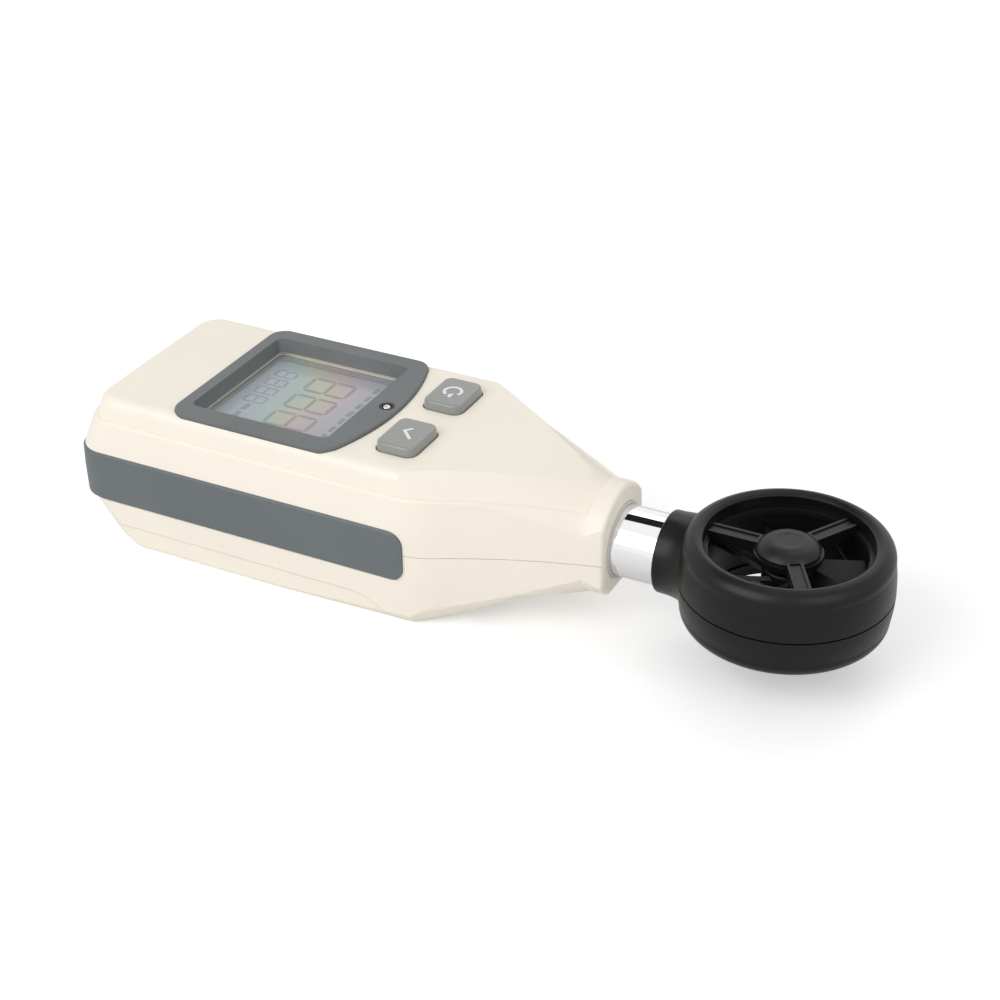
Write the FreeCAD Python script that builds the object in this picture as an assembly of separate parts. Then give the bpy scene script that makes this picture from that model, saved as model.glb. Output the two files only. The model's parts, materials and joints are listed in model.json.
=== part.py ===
"""Handheld weather meter: a display case with a swivelling wind-vane head.

The meter lies on its back, with X along the length from the base end to the vane head, Y across
and Z up out of the display. Stations along X are measured from the base end and heights from the
axis of the neck tube; main() then moves every piece so that the origin lies on the floor under
the middle of the whole object. All sizes are millimetres.
"""

import FreeCAD, Part
import math
import os

V = FreeCAD.Vector
X_AXIS = V(1, 0, 0)
Y_AXIS = V(0, 1, 0)
Z_AXIS = V(0, 0, 1)
FAR = 400.0

# ---- Case: plan outline ------------------------------------------------------------------
CASE_LENGTH = 111.3
CASE_CORNER_RADIUS = 6.5
NECK_HALF_WIDTH = 9.0
SHOULDER_LENGTH = 37.3
SHOULDER_BEND_LENGTH = 8.0
SHOULDER_TURN = 27.5
CASE_WALL = 2.0
CASE_SIDE_ROOM = 1.5

# ---- Case: heights -----------------------------------------------------------------------
AXIS_HEIGHT = 17.6
SEAM_Z = -1.0
TOP_Z = 15.5
TOP_SLOPE_LENGTH = 37.3
TOP_SLOPE_RADIUS = 118.0
TOP_EDGE_RADIUS = 2.0
STEP_Z = 10.8
STEP_DEPTH = 0.7
STEP_EDGE_RADIUS = 0.55
STEP_END_Z = 8.0
STEP_BOW = 0.3
STEP_BEND_LENGTH = 30.8
SIDE_LEAN = 0.6
SIDE_LEAN_ABOVE_STEP = 0.35
SIDE_LEAN_AT_BUMPER = 0.05
BASE_LEAN = 4.2
BASE_LEAN_ABOVE_STEP = 2.4
BASE_SETBACK = 0.6
BASE_SETBACK_AT_BUMPER = 0.5
LOWER_LEAN_AT_BUMPER = 0.1
LOWER_SETBACK_AT_BUMPER = 1.2
CHIN_HEIGHT = 5.0
CHIN_LEAN = 0.7
CHIN_SETBACK = 5.6
KEEL_HEIGHT = 2.1
KEEL_LEAN = 1.1
KEEL_SETBACK = 7.8
SOLE_LEAN = 1.6
SOLE_SETBACK = 11.8
SOLE_EDGE = 0.6
SOLE_TAPER = 2.4
SOLE_TAPER_START_X = 14.0
SOLE_TAPER_HEIGHT = 3.6
BELLY_START = 40.3
BELLY_LENGTH = 27.0
BELLY_SHARE = 0.85
BOTTOM_EDGE_RADIUS = 1.2

# ---- Neck of the case --------------------------------------------------------------------
COLLAR_RADIUS = 11.0
COLLAR_LENGTH = 4.0
COLLAR_EDGE = 1.0
NECK_DEPTH = 9.4
NECK_FOOT_RADIUS = 10.9
NECK_FLARE_RADIUS = 27.2
FOOT_FLARE_RADIUS = 28.4
NECK_FLARE_LENGTH = 35.3
NECK_FLARE_BOW = 0.4
NECK_WALL = 1.6
BUSH_RADIUS = 8.0
BUSH_NOSE_RADIUS = 7.5
BUSH_NOSE_LENGTH = 2.5
BUSH_LENGTH = 7.3
BUSH_PROUD = 0.25
FLANGE_RADIUS = 8.0
FLANGE_THICKNESS = 1.8
FLANGE_ROOM = 0.3
WASHER_THICKNESS = 2.2
LUG_HEIGHT = 0.9
LUG_HALF_ANGLE = 15.0
SWIVEL_LIMIT = 90.0
STOP_MARGIN = 2.0

# ---- Fits --------------------------------------------------------------------------------
SEAT_GAP = 0.1
RUN_GAP = 0.05
KEY_GAP = 0.2
DOOR_GAP = 0.12
SEAM_GROOVE = 0.14
SEAM_GROOVE_DEPTH = 0.5
SCREW_GAP = 0.02
SCREW_TIP_ROOM = 0.8
OVER = 1.0

# ---- Rubber bumper -----------------------------------------------------------------------
BUMPER_TOP_Z = 3.7
BUMPER_BOTTOM_Z = -7.0
BUMPER_PAST_SHOULDER = 2.3
BUMPER_PROUD = 0.4
BUMPER_DEPTH = 1.1
BUMPER_CROWN = 0.1
BUMPER_EDGE = 0.45
BUMPER_END_RADIUS = 3.0
BUMPER_BASE_LEAN = 0.4

# ---- Display -----------------------------------------------------------------------------
BEZEL_BEFORE_SHOULDER = 50.0
BEZEL_LENGTH = 39.8
BEZEL_SIDE_MARGIN = 2.3
BEZEL_BOW_RADIUS = 50.0
BEZEL_CORNER = 3.5
BEZEL_PROUD = 0.7
BEZEL_THICKNESS = 2.6
BEZEL_EDGE = 0.4
SCREEN_MARGIN = 2.7
SCREEN_LENGTH = 30.6
SCREEN_SIDE_MARGIN = 3.8
SCREEN_CORNER = 1.5
SCREEN_SLANT = 0.8
WINDOW_THICKNESS = 1.2
WINDOW_LAP = 0.7
LEDGE_THICKNESS = 1.2
LEDGE_WIDTH = 2.2
LEDGE_MARGIN = 1.0
LCD_THICKNESS = 2.2
LCD_OVERHANG = 1.2
ZEBRA_WIDTH = 2.0
ZEBRA_HEIGHT = 1.3
ZEBRA_INSET = 0.4
SENSOR_BEFORE_EDGE = 2.6
SENSOR_RADIUS = 0.95
GROMMET_WALL = 0.55
SENSOR_LEAD_RADIUS = 0.25
SENSOR_LEAD_LAP = 0.3
SENSOR_DOME_SHARE = 0.75

# ---- Keys --------------------------------------------------------------------------------
KEY_AFTER_BEZEL = 7.0
KEY_SIDE_MARGIN = 7.4
KEY_HALF_LENGTH = 4.2
KEY_HALF_WIDTH = 5.6
KEY_CORNER = 1.9
KEY_SINK = 0.2
KEY_RISE = 2.0
KEY_DRAFT = 0.25
KEY_EDGE = 0.55
KEY_LIP = 0.8
KEY_LIP_THICKNESS = 0.8
KEY_TRAVEL = 0.8
PLUNGER_HALF = 2.6
PILL_RADIUS = 1.8
PILL_THICKNESS = 0.8
MAT_THICKNESS = 1.0
MAT_MARGIN = 2.4

# ---- Main board --------------------------------------------------------------------------
BOARD_BEFORE_BEZEL = 10.0
BOARD_PAST_SHOULDER = 8.6
BOARD_THICKNESS = 1.6
BOARD_SIDE_GAP = 0.6
CONTROLLER_BEFORE_SHOULDER = 28.0
CONTROLLER_Y = 4.0
CONTROLLER_HALF = 5.0
CONTROLLER_HEIGHT = 1.6
PRESSURE_BEFORE_SHOULDER = 12.0
PRESSURE_Y = -8.0
PRESSURE_HALF = 2.5
PRESSURE_HEIGHT = 2.0
BUZZER_RADIUS = 5.0
BUZZER_HEIGHT = 3.0
BUZZER_PORT_RADIUS = 1.0
BUZZER_PORT_DEPTH = 0.8
PILLAR_RADIUS = 2.2
BOARD_SCREW_RADIUS = 0.9
BOARD_SCREW_HEAD = 1.7
BOARD_SCREW_HEAD_HEIGHT = 1.1
BOARD_SCREW_LENGTH = 4.6
BOARD_HOLE_INSET = 6.6
BOARD_HOLE_TAPER = 3.0
BOARD_HOLE_MARGINS = (4.5, 2.1)

# ---- Case screws -------------------------------------------------------------------------
SLOT_HALF_WIDTH = 0.25
SLOT_REACH = 0.65
SLOT_DEPTH = 0.45
BOSS_RADIUS = 2.7
CASE_SCREW_RADIUS = 1.1
CASE_SCREW_HEAD = 1.9
CASE_SCREW_HEAD_HEIGHT = 1.3
CASE_SCREW_LENGTH = 11.5
CASE_SCREW_SEAT_Z = -7.5
CASE_HOLE_CORNER = 10.4
CASE_HOLE_INSET = 9.5
CASE_HOLE_TAPER = 1.1
CASE_HOLE_BEFORE_NECK = 22.5

# ---- Battery bay -------------------------------------------------------------------------
CELL_RADIUS = 5.25
CELL_LENGTH = 43.7
CELL_NUB_RADIUS = 1.9
CELL_NUB_LENGTH = 0.8
CELL_GAP = 0.4
CELL_EDGE = 0.4
CELL_SIDE_ROOM = 0.85
CELL_ROOM = 0.3
BAY_START_X = 14.2
BAY_WALL = 1.6
SPRING_LENGTH = 3.8
SPRING_RADIUS = 2.8
SPRING_TIP_RADIUS = 1.6
SPRING_WIRE_RADIUS = 0.3
SPRING_TURNS = 3.0
SPRING_STEPS = 12
CONTACT_THICKNESS = 0.4
CONTACT_HALF_WIDTH = 3.8
CONTACT_HALF_HEIGHT = 3.6
TAB_HALF_WIDTH = 1.0

# ---- Battery door ------------------------------------------------------------------------
DOOR_WALL = 1.8
DOOR_PAST_BAY = 8.7
DOOR_CURVE_LENGTH = 8.1
DOOR_CURVE_BOW = 0.72
RAIL_HEIGHT = 1.0
RAIL_GRIP = 0.5
RAIL_DROP = 1.3
RAIL_END_GAP = 2.0
TONGUE_LENGTH = 2.8
TONGUE_ROOT = 3.0
TONGUE_THICKNESS = 0.8
TONGUE_HALF_WIDTH = 14.0
GRIP_COUNT = 5
GRIP_PITCH = 1.6
GRIP_DEPTH = 0.4
GRIP_START_X = 18.0
GRIP_HALF_WIDTH = 8.0

# ---- Neck tube ---------------------------------------------------------------------------
TUBE_RADIUS = 6.88
TUBE_WALL = 1.0
TUBE_REACH = 8.9
TUBE_IN_HEAD = 5.3

# ---- Vane head ---------------------------------------------------------------------------
HEAD_RADIUS = 19.6
HEAD_COLLAR_REACH = 3.6
HEAD_COLLAR_RADIUS = 7.9
HEAD_BLEND_RADIUS = 8.0
HEAD_BLEND_TURN = 60.0
HEAD_BLEND_STEPS = 5
HEAD_COLLAR_EDGE = 0.4
HEAD_TOP_Z = 9.3
HEAD_BOTTOM_Z = -8.3
LIP_RADIUS = 15.3
LIP_Z = 8.5
RIM_RADIUS = 16.8
RIM_ROUND = 3.2
DUCT_RADIUS = 14.8
FOOT_RADIUS = 16.4
HEAD_BULGE = 0.5
HEAD_BULGE_SHARE = 0.75
HEAD_SEAM_DEPTH = 0.5
HEAD_WALL = 1.5
HOLLOW_BEND_SHARE = 0.55
SEAT_Z = 5.4

# ---- Spiders and rotor -------------------------------------------------------------------
HUB_RADIUS = 5.85
HUB_RIDGE = 0.45
HUB_RIDGE_HEIGHT = 1.2
HUB_TOP_Z = 8.7
HUB_FLAT_RADIUS = 2.05
HUB_CURVE_RADIUS = 4.8
HUB_CURVE_SHARE = 0.66
ARM_WIDTH = 3.0
ARM_HEIGHT = 2.2
ARM_RIDGE = 0.55
ARM_GROOVE = 0.3
SPIDER_RING_WIDTH = 0.9
SPIDER_RING_HEIGHT = 1.0
BEARING_RADIUS = 1.6
BEARING_LENGTH = 1.6
BEARING_SINK = 0.3
SHAFT_RADIUS = 0.6
SHAFT_END_Z = 6.2
ROTOR_HUB_RADIUS = 4.6
ROTOR_HALF_HEIGHT = 3.7
ROTOR_EDGE = 0.8
BLADE_ROOT_SHARE = 0.6
BLADE_COUNT = 8
BLADE_TIP_GAP = 0.5
BLADE_THICKNESS = 0.8
BLADE_CHORD = 8.6
BLADE_PITCH = 38.0
MAGNET_RADIUS = 3.0
MAGNET_BORE = 1.2
MAGNET_HEIGHT = 1.0
SENSOR_CHIP_HALF = 1.5
SENSOR_CHIP_HEIGHT = 0.8
SENSOR_CHIP_OFFSET = 3.6
SENSOR_CHIP_SINK = 0.2
HEAD_SCREW_RADIUS = 0.7
HEAD_SCREW_HEAD = 1.05
HEAD_SCREW_HEAD_HEIGHT = 1.0
HEAD_SCREW_CIRCLE = 17.0
HEAD_SCREW_SEAT_Z = -4.6
HEAD_SCREW_LENGTH = 7.6
HEAD_BOSS_RADIUS = 1.8
HEAD_SCREW_ANGLES = (0.0, 120.0, 240.0)
ARM_ANGLES = (60.0, 180.0, 300.0)

# ---- Sensor lead -------------------------------------------------------------------------
LEAD_RADIUS = 0.75
LEAD_ROOM = 0.2
LEAD_ARM_Z = -6.3
LEAD_BEND_SHARE = 0.45
LEAD_ARM_END = 2.4
LEAD_COLLAR_RUN = 0.7
LEAD_TUBE_RUN = 5.5
CONNECTOR_LENGTH = 4.5
CONNECTOR_HALF_WIDTH = 3.0
CONNECTOR_HEIGHT = 3.0
CONNECTOR_PAST_SHOULDER = 2.5
LEAD_END_RUN = 4.0

# ---- Places worked out from the sizes above ----------------------------------------------
CELL_PITCH = 2 * CELL_RADIUS + CELL_GAP
BAY_HALF_WIDTH = CELL_PITCH + CELL_RADIUS + CELL_SIDE_ROOM
CASE_HALF_WIDTH = BAY_HALF_WIDTH + BAY_WALL + CASE_SIDE_ROOM + CASE_WALL
SHOULDER_X = CASE_LENGTH - SHOULDER_LENGTH
SHOULDER_ANGLE = math.radians(SHOULDER_TURN)
SHOULDER_ARC = SHOULDER_BEND_LENGTH / math.sin(SHOULDER_ANGLE)
WAIST_RUN = SHOULDER_LENGTH - SHOULDER_BEND_LENGTH
WAIST_START_Y = CASE_HALF_WIDTH - SHOULDER_ARC * (1 - math.cos(SHOULDER_ANGLE))
WAIST_CHORD = math.hypot(WAIST_RUN, WAIST_START_Y - NECK_HALF_WIDTH)
WAIST_CHORD_ANGLE = math.atan2(WAIST_START_Y - NECK_HALF_WIDTH, WAIST_RUN)
WAIST_ARC = WAIST_CHORD / 2 / math.sin(SHOULDER_ANGLE - WAIST_CHORD_ANGLE)
TOP_SLOPE_X = CASE_LENGTH - TOP_SLOPE_LENGTH
STEP_END_X = CASE_LENGTH - COLLAR_LENGTH
FLOOR_Z = -AXIS_HEIGHT
CHIN_Z = FLOOR_Z + CHIN_HEIGHT
KEEL_Z = FLOOR_Z + KEEL_HEIGHT
BELLY_X = CASE_LENGTH - BELLY_START
BELLY_DROP = AXIS_HEIGHT - NECK_DEPTH
BELLY_ANGLE = 2 * math.atan2(BELLY_DROP, BELLY_LENGTH)
BELLY_ARCS = BELLY_LENGTH / math.sin(BELLY_ANGLE)
BUSH_X = CASE_LENGTH - BUSH_LENGTH
FLANGE_X = BUSH_X - WASHER_THICKNESS - SEAT_GAP - FLANGE_THICKNESS
HEAD_COLLAR_X = CASE_LENGTH + TUBE_REACH
HEAD_X = HEAD_COLLAR_X + HEAD_COLLAR_REACH + HEAD_RADIUS
OVERALL_START_X = BASE_SETBACK + BUMPER_BASE_LEAN - BUMPER_PROUD
MIDDLE_X = (OVERALL_START_X + HEAD_X + HEAD_RADIUS) / 2
BUMPER_LENGTH = SHOULDER_X + BUMPER_PAST_SHOULDER
BEZEL_START_X = SHOULDER_X - BEZEL_BEFORE_SHOULDER
BEZEL_END_X = BEZEL_START_X + BEZEL_LENGTH
BEZEL_HALF_WIDTH = CASE_HALF_WIDTH - BEZEL_SIDE_MARGIN
SCREEN_X = BEZEL_START_X + SCREEN_MARGIN + SCREEN_LENGTH / 2
SCREEN_HALF_WIDTH = BEZEL_HALF_WIDTH - SCREEN_SIDE_MARGIN
SENSOR_X = BEZEL_END_X - SENSOR_BEFORE_EDGE
BEZEL_TOP_Z = TOP_Z + BEZEL_PROUD
BEZEL_SEAT_Z = BEZEL_TOP_Z - BEZEL_THICKNESS
LEDGE_Z = BEZEL_SEAT_Z - WINDOW_THICKNESS
LEDGE_BOTTOM_Z = LEDGE_Z - LEDGE_THICKNESS
LCD_BOTTOM_Z = LEDGE_BOTTOM_Z - SEAT_GAP - LCD_THICKNESS
BOARD_TOP_Z = LCD_BOTTOM_Z - ZEBRA_HEIGHT
BOARD_Z = BOARD_TOP_Z - BOARD_THICKNESS
INNER_TOP_Z = TOP_Z - CASE_WALL
CELL_Z = FLOOR_Z + DOOR_WALL + CELL_ROOM + CELL_RADIUS
ROOF_Z = CELL_Z + CELL_RADIUS + CELL_ROOM
BAY_LENGTH = SPRING_LENGTH + CELL_LENGTH + CELL_NUB_LENGTH + 2 * CONTACT_THICKNESS + 4 * SEAT_GAP
BAY_END_X = BAY_START_X + BAY_LENGTH
BAY_FOOT_Z = FLOOR_Z + DOOR_WALL + SEAT_GAP
DOOR_END_X = BAY_END_X + DOOR_PAST_BAY
DOOR_CURVE_X = DOOR_END_X - DOOR_CURVE_LENGTH
KEY_CENTRE_X = BEZEL_END_X + KEY_AFTER_BEZEL
KEY_CENTRE_Y = CASE_HALF_WIDTH - KEY_SIDE_MARGIN - KEY_HALF_WIDTH
KEY_BASE_Z = TOP_Z - KEY_SINK
KEY_TOP_Z = KEY_BASE_Z + KEY_RISE
KEY_LIP_Z = INNER_TOP_Z - RUN_GAP
PILL_Z = BOARD_TOP_Z + KEY_TRAVEL + SEAT_GAP
BOARD_START_X = BEZEL_START_X - BOARD_BEFORE_BEZEL
BOARD_END_X = SHOULDER_X + BOARD_PAST_SHOULDER
BOARD_HOLES = (
    (BOARD_START_X + BOARD_HOLE_MARGINS[0], CASE_HALF_WIDTH - BOARD_HOLE_INSET),
    (BOARD_END_X - BOARD_HOLE_MARGINS[1], CASE_HALF_WIDTH - BOARD_HOLE_INSET - BOARD_HOLE_TAPER))
CASE_HOLES = (
    (CASE_HOLE_CORNER, CASE_HALF_WIDTH - CASE_HOLE_INSET),
    (CASE_LENGTH - CASE_HOLE_BEFORE_NECK, CASE_HALF_WIDTH - CASE_HOLE_INSET - CASE_HOLE_TAPER))
CONNECTOR_X = SHOULDER_X + CONNECTOR_PAST_SHOULDER
CONTROLLER_X = SHOULDER_X - CONTROLLER_BEFORE_SHOULDER
PRESSURE_X = SHOULDER_X - PRESSURE_BEFORE_SHOULDER
BUZZER_X = BAY_START_X + CELL_PITCH
BUZZER_Y = -CELL_PITCH


# ---- Small modelling helpers -------------------------------------------------------------
def path(start, *steps):
    """Wire from start through steps; a step is (end,) for a line or (via, end) for an arc."""
    edges = []
    here = start
    for step in steps:
        end = step[-1]
        curve = Part.Arc(here, step[0], end) if len(step) == 2 else Part.LineSegment(here, end)
        edges.append(curve.toShape())
        here = end
    return Part.Wire(edges)


def polygon(points, depth):
    """Prism of a closed polygon, swept by the vector depth."""
    return Part.Face(Part.makePolygon(points + points[:1])).extrude(depth)


def turned(points, centre, axis):
    """Solid of revolution of a closed polygon about an axis."""
    return Part.Face(Part.makePolygon(points + points[:1])).revolve(centre, axis, 360)


def box(low_x, high_x, low_y, high_y, low_z, high_z):
    """Box between two corners."""
    return Part.makeBox(high_x - low_x, high_y - low_y, high_z - low_z, V(low_x, low_y, low_z))


def post(x, y, low_z, high_z, radius):
    """Upright cylinder."""
    return Part.makeCylinder(radius, high_z - low_z, V(x, y, low_z), Z_AXIS)


def rod(low_x, high_x, radius, y=0.0, z=0.0):
    """Cylinder along X."""
    return Part.makeCylinder(radius, high_x - low_x, V(low_x, y, z), X_AXIS)


def fused(shapes):
    """One solid of several that touch or overlap."""
    shapes = list(shapes)
    return shapes[0].multiFuse(shapes[1:]).removeSplitter() if len(shapes) > 1 else shapes[0]


def group(shapes):
    """Several separate solids kept in one node."""
    return Part.makeCompound([solid for shape in shapes for solid in shape.Solids])


def mirrored(shape):
    """The same shape on the other side of the length axis."""
    return shape.mirror(V(0, 0, 0), Y_AXIS)


def edges_where(shape, rule):
    """Edges whose end and middle points all pass the rule."""
    found = []
    for edge in shape.Edges:
        first, last = edge.ParameterRange
        if all(rule(edge.valueAt(first + (last - first) * t)) for t in (0.0, 0.35, 0.5, 0.8, 1.0)):
            found.append(edge)
    return found


def at_height(z, tolerance=0.01):
    """Rule for edges_where: the point lies at one height."""
    return lambda point: abs(point.z - z) < tolerance


def crosses(point, station):
    """Whether a point lies on an edge that runs across the case at a station."""
    return abs(point.x - station) < 0.05 and abs(point.y) < CASE_HALF_WIDTH * 0.8


def rounded_box(centre_x, centre_y, half_x, half_y, low_z, high_z, radius):
    """Box with its four upright edges rounded."""
    block = box(centre_x - half_x, centre_x + half_x, centre_y - half_y, centre_y + half_y, low_z, high_z)
    upright = [edge for edge in block.Edges if abs(edge.BoundBox.ZLength - (high_z - low_z)) < 0.01]
    return block.makeFillet(radius, upright)


def rounded_wire(centre_x, centre_y, half_x, half_y, z, radius):
    """Closed rectangle with rounded corners at one height."""
    cut = radius * (1 - math.sqrt(0.5))
    x0, x1 = centre_x - half_x, centre_x + half_x
    y0, y1 = centre_y - half_y, centre_y + half_y
    return path(
        V(x0 + radius, y0, z), (V(x1 - radius, y0, z),),
        (V(x1 - cut, y0 + cut, z), V(x1, y0 + radius, z)), (V(x1, y1 - radius, z),),
        (V(x1 - cut, y1 - cut, z), V(x1 - radius, y1, z)), (V(x0 + radius, y1, z),),
        (V(x0 + cut, y1 - cut, z), V(x0, y1 - radius, z)), (V(x0, y0 + radius, z),),
        (V(x0 + cut, y0 + cut, z), V(x0 + radius, y0, z)))


# ---- Case: outer and inner forms ---------------------------------------------------------
def plan_wire(z, inset, base_x):
    """Bottle-shaped outline of the case at one height, moved inward by inset."""
    half = CASE_HALF_WIDTH - inset
    corner = CASE_CORNER_RADIUS - inset
    cut = corner * (1 - math.sqrt(0.5))
    convex = SHOULDER_ARC - inset
    concave = WAIST_ARC + inset
    turn = SHOULDER_ANGLE
    waist_x = SHOULDER_X + SHOULDER_BEND_LENGTH + WAIST_ARC * math.sin(turn)
    waist_y = WAIST_START_Y + WAIST_ARC * math.cos(turn)
    last = math.asin((waist_x - CASE_LENGTH) / concave)

    def side(sign):
        """Points of one side: base corner, shoulder, waist and neck."""
        def shoulder(t):
            return V(SHOULDER_X + convex * math.sin(t), sign * (half - convex * (1 - math.cos(t))), z)

        def waist(t):
            return V(waist_x - concave * math.sin(t), sign * (waist_y - concave * math.cos(t)), z)

        return [
            V(base_x, sign * (half - corner), z), V(base_x + cut, sign * (half - cut), z),
            V(base_x + corner, sign * half, z), shoulder(0), shoulder(turn / 2),
            shoulder(turn), waist((turn + last) / 2), waist(last)]

    a, b = side(1), side(-1)
    return path(
        b[0], (a[0],), (a[1], a[2]), (a[3],), (a[4], a[5]), (a[6], a[7]),
        (b[7],), (b[6], b[5]), (b[4], b[3]), (b[2],), (b[1], b[0]))


def plan_loft(levels, inset):
    """Case wall through (height, lean, base setback) levels, moved inward by inset."""
    wires = [plan_wire(z, lean + inset, setback + inset) for z, lean, setback in levels]
    return Part.makeLoft(wires, True, True)


def top_form(inset, end_x):
    """Everything under the top surface, up to a station."""
    radius = TOP_SLOPE_RADIUS
    top = TOP_Z - inset

    def slope(x):
        return V(x, -FAR, top - radius + math.sqrt(radius ** 2 - (x - TOP_SLOPE_X) ** 2))

    wire = path(
        V(-FAR, -FAR, -FAR), (V(-FAR, -FAR, top),), (slope(TOP_SLOPE_X),),
        (slope((TOP_SLOPE_X + end_x) / 2), slope(end_x)), (V(end_x, -FAR, -FAR),),
        (V(-FAR, -FAR, -FAR),))
    return Part.Face(wire).extrude(V(0, 2 * FAR, 0))


def bottom_form(inset, end_x):
    """Everything above the bottom surface, up to a station."""
    floor = FLOOR_Z + inset
    convex = BELLY_ARCS * BELLY_SHARE - inset
    concave = BELLY_ARCS * (1 - BELLY_SHARE) + inset
    angle = BELLY_ANGLE

    def belly(t):
        return V(BELLY_X + convex * math.sin(t), -FAR, floor + convex * (1 - math.cos(t)))

    def hollow(t):
        rise = BELLY_DROP - concave * (1 - math.cos(t))
        return V(BELLY_X + BELLY_LENGTH - concave * math.sin(t), -FAR, floor + rise)

    wire = path(
        V(-FAR, -FAR, FAR), (V(-FAR, -FAR, floor),), (belly(0),), (belly(angle / 2), belly(angle)),
        (hollow(angle / 2), hollow(0)), (V(end_x, -FAR, floor + BELLY_DROP),),
        (V(end_x, -FAR, FAR),), (V(-FAR, -FAR, FAR),))
    return Part.Face(wire).extrude(V(0, 2 * FAR, 0))


def neck_flare(inset, start_radius, end_radius):
    """Round envelope that turns the boxy shoulders into the rounded neck."""
    end = end_radius - inset
    start = start_radius - inset
    start_x = STEP_END_X - NECK_FLARE_LENGTH
    middle = V(STEP_END_X - NECK_FLARE_LENGTH / 2, 0, (start + end) / 2 - NECK_FLARE_BOW)
    profile = path(
        V(-FAR, 0, 0), (V(FAR, 0, 0),), (V(FAR, 0, end),), (V(STEP_END_X, 0, end),),
        (middle, V(start_x, 0, start)), (V(start_x, 0, FAR),), (V(-FAR, 0, FAR),), (V(-FAR, 0, 0),))
    return Part.Face(profile).revolve(V(0, 0, 0), X_AXIS, 360)


def upper_flare(inset):
    """Envelope of the neck above the seam."""
    return neck_flare(inset, NECK_FLARE_RADIUS, COLLAR_RADIUS)


def lower_flare(inset):
    """Envelope of the neck below the seam."""
    return neck_flare(inset, FOOT_FLARE_RADIUS, NECK_FOOT_RADIUS)


def below_step():
    """Room below the step line that runs round the raised top panel, and all of the collar."""
    bend_x = CASE_LENGTH - STEP_BEND_LENGTH
    middle_x = (bend_x + STEP_END_X) / 2
    wire = path(
        V(-FAR, -FAR, STEP_Z), (V(bend_x, -FAR, STEP_Z),),
        (V(middle_x, -FAR, STEP_Z - (STEP_Z - STEP_END_Z) * STEP_BOW), V(STEP_END_X, -FAR, STEP_END_Z)),
        (V(STEP_END_X, -FAR, FAR),), (V(FAR, -FAR, FAR),), (V(FAR, -FAR, -FAR),), (V(-FAR, -FAR, -FAR),),
        (V(-FAR, -FAR, STEP_Z),))
    return Part.Face(wire).extrude(V(0, 2 * FAR, 0))


def upper_levels():
    """Height, lean and base setback of the wall above the seam."""
    return [
        (SEAM_Z, 0.0, BASE_SETBACK),
        (BUMPER_TOP_Z, SIDE_LEAN_AT_BUMPER, BASE_SETBACK + BASE_SETBACK_AT_BUMPER),
        (STEP_Z, SIDE_LEAN, BASE_LEAN),
        (TOP_Z + OVER, SIDE_LEAN + SIDE_LEAN_ABOVE_STEP, BASE_LEAN + BASE_LEAN_ABOVE_STEP)]


def lower_levels():
    """Height, lean and base setback of the wall below the seam."""
    return [
        (SEAM_Z, 0.0, BASE_SETBACK),
        (BUMPER_BOTTOM_Z, LOWER_LEAN_AT_BUMPER, BASE_SETBACK + LOWER_SETBACK_AT_BUMPER),
        (CHIN_Z, CHIN_LEAN, CHIN_SETBACK), (KEEL_Z, KEEL_LEAN, KEEL_SETBACK),
        (FLOOR_Z - OVER, SOLE_LEAN, SOLE_SETBACK)]


def end_edges(shape):
    """Edges round the case's end face, without the one that lies on the seam."""
    rim = edges_where(shape, lambda point: abs(point.x - CASE_LENGTH) < 0.01)
    return [edge for edge in rim if edge.BoundBox.ZLength > 0.01 or abs(edge.BoundBox.ZMin - SEAM_Z) > 0.01]


def top_rim(point):
    """Rule for the edges round the top surface, but not those that cross it."""
    on_flat = abs(point.z - TOP_Z) < 0.01 and point.x < TOP_SLOPE_X + 0.01
    drop = TOP_SLOPE_RADIUS - math.sqrt(TOP_SLOPE_RADIUS ** 2 - (point.x - TOP_SLOPE_X) ** 2)
    on_slope = point.x > TOP_SLOPE_X - 0.01 and abs(point.z - TOP_Z + drop) < 0.01
    ending = point.x > STEP_END_X - 0.01
    return (on_flat or on_slope) and not crosses(point, TOP_SLOPE_X) and not ending


def step_rim(point):
    """Rule for the edge of the lower wall along the straight part of the step line."""
    bend_x = CASE_LENGTH - STEP_BEND_LENGTH
    return abs(point.z - STEP_Z) < 0.01 and point.x < bend_x + 0.01 and not crosses(point, bend_x)


def upper_form():
    """Outer form of the front case: lower wall with its collar and the raised panel."""
    wall = plan_loft(upper_levels(), 0.0).common(upper_flare(0.0)).common(below_step())
    wall = wall.makeFillet(STEP_EDGE_RADIUS, edges_where(wall, step_rim))
    wall = wall.makeFillet(COLLAR_EDGE, end_edges(wall))
    panel = plan_loft(upper_levels(), STEP_DEPTH).common(top_form(0.0, STEP_END_X))
    panel = panel.makeFillet(TOP_EDGE_RADIUS, edges_where(panel, top_rim))
    panel = panel.common(upper_flare(STEP_DEPTH))
    return fused([wall, panel])


def bottom_rim(point):
    """Rule for the edges round the flat bottom."""
    on_flat = abs(point.z - FLOOR_Z) < 0.01 and point.x < BELLY_X + 0.01
    return on_flat and not crosses(point, BELLY_X)


def beyond(point, normal):
    """Everything on one side of a plane through a point."""
    block = Part.makeBox(2 * FAR, 2 * FAR, 2 * FAR, V(-FAR, -FAR, 0))
    block.Placement = FreeCAD.Placement(point, FreeCAD.Rotation(Z_AXIS, normal)).multiply(block.Placement)
    return block


def sole_taper():
    """Slanted cut off the lower side edge that grows towards the neck."""
    start = V(SOLE_TAPER_START_X, CASE_HALF_WIDTH - SOLE_EDGE, FLOOR_Z)
    end = V(SHOULDER_X, start.y - SOLE_TAPER, FLOOR_Z)
    rise = V(SHOULDER_X, CASE_HALF_WIDTH, FLOOR_Z + SOLE_TAPER_HEIGHT)
    normal = (end - start).cross(rise - end)
    return beyond(start, normal if normal.y > 0 else normal * -1)


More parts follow.
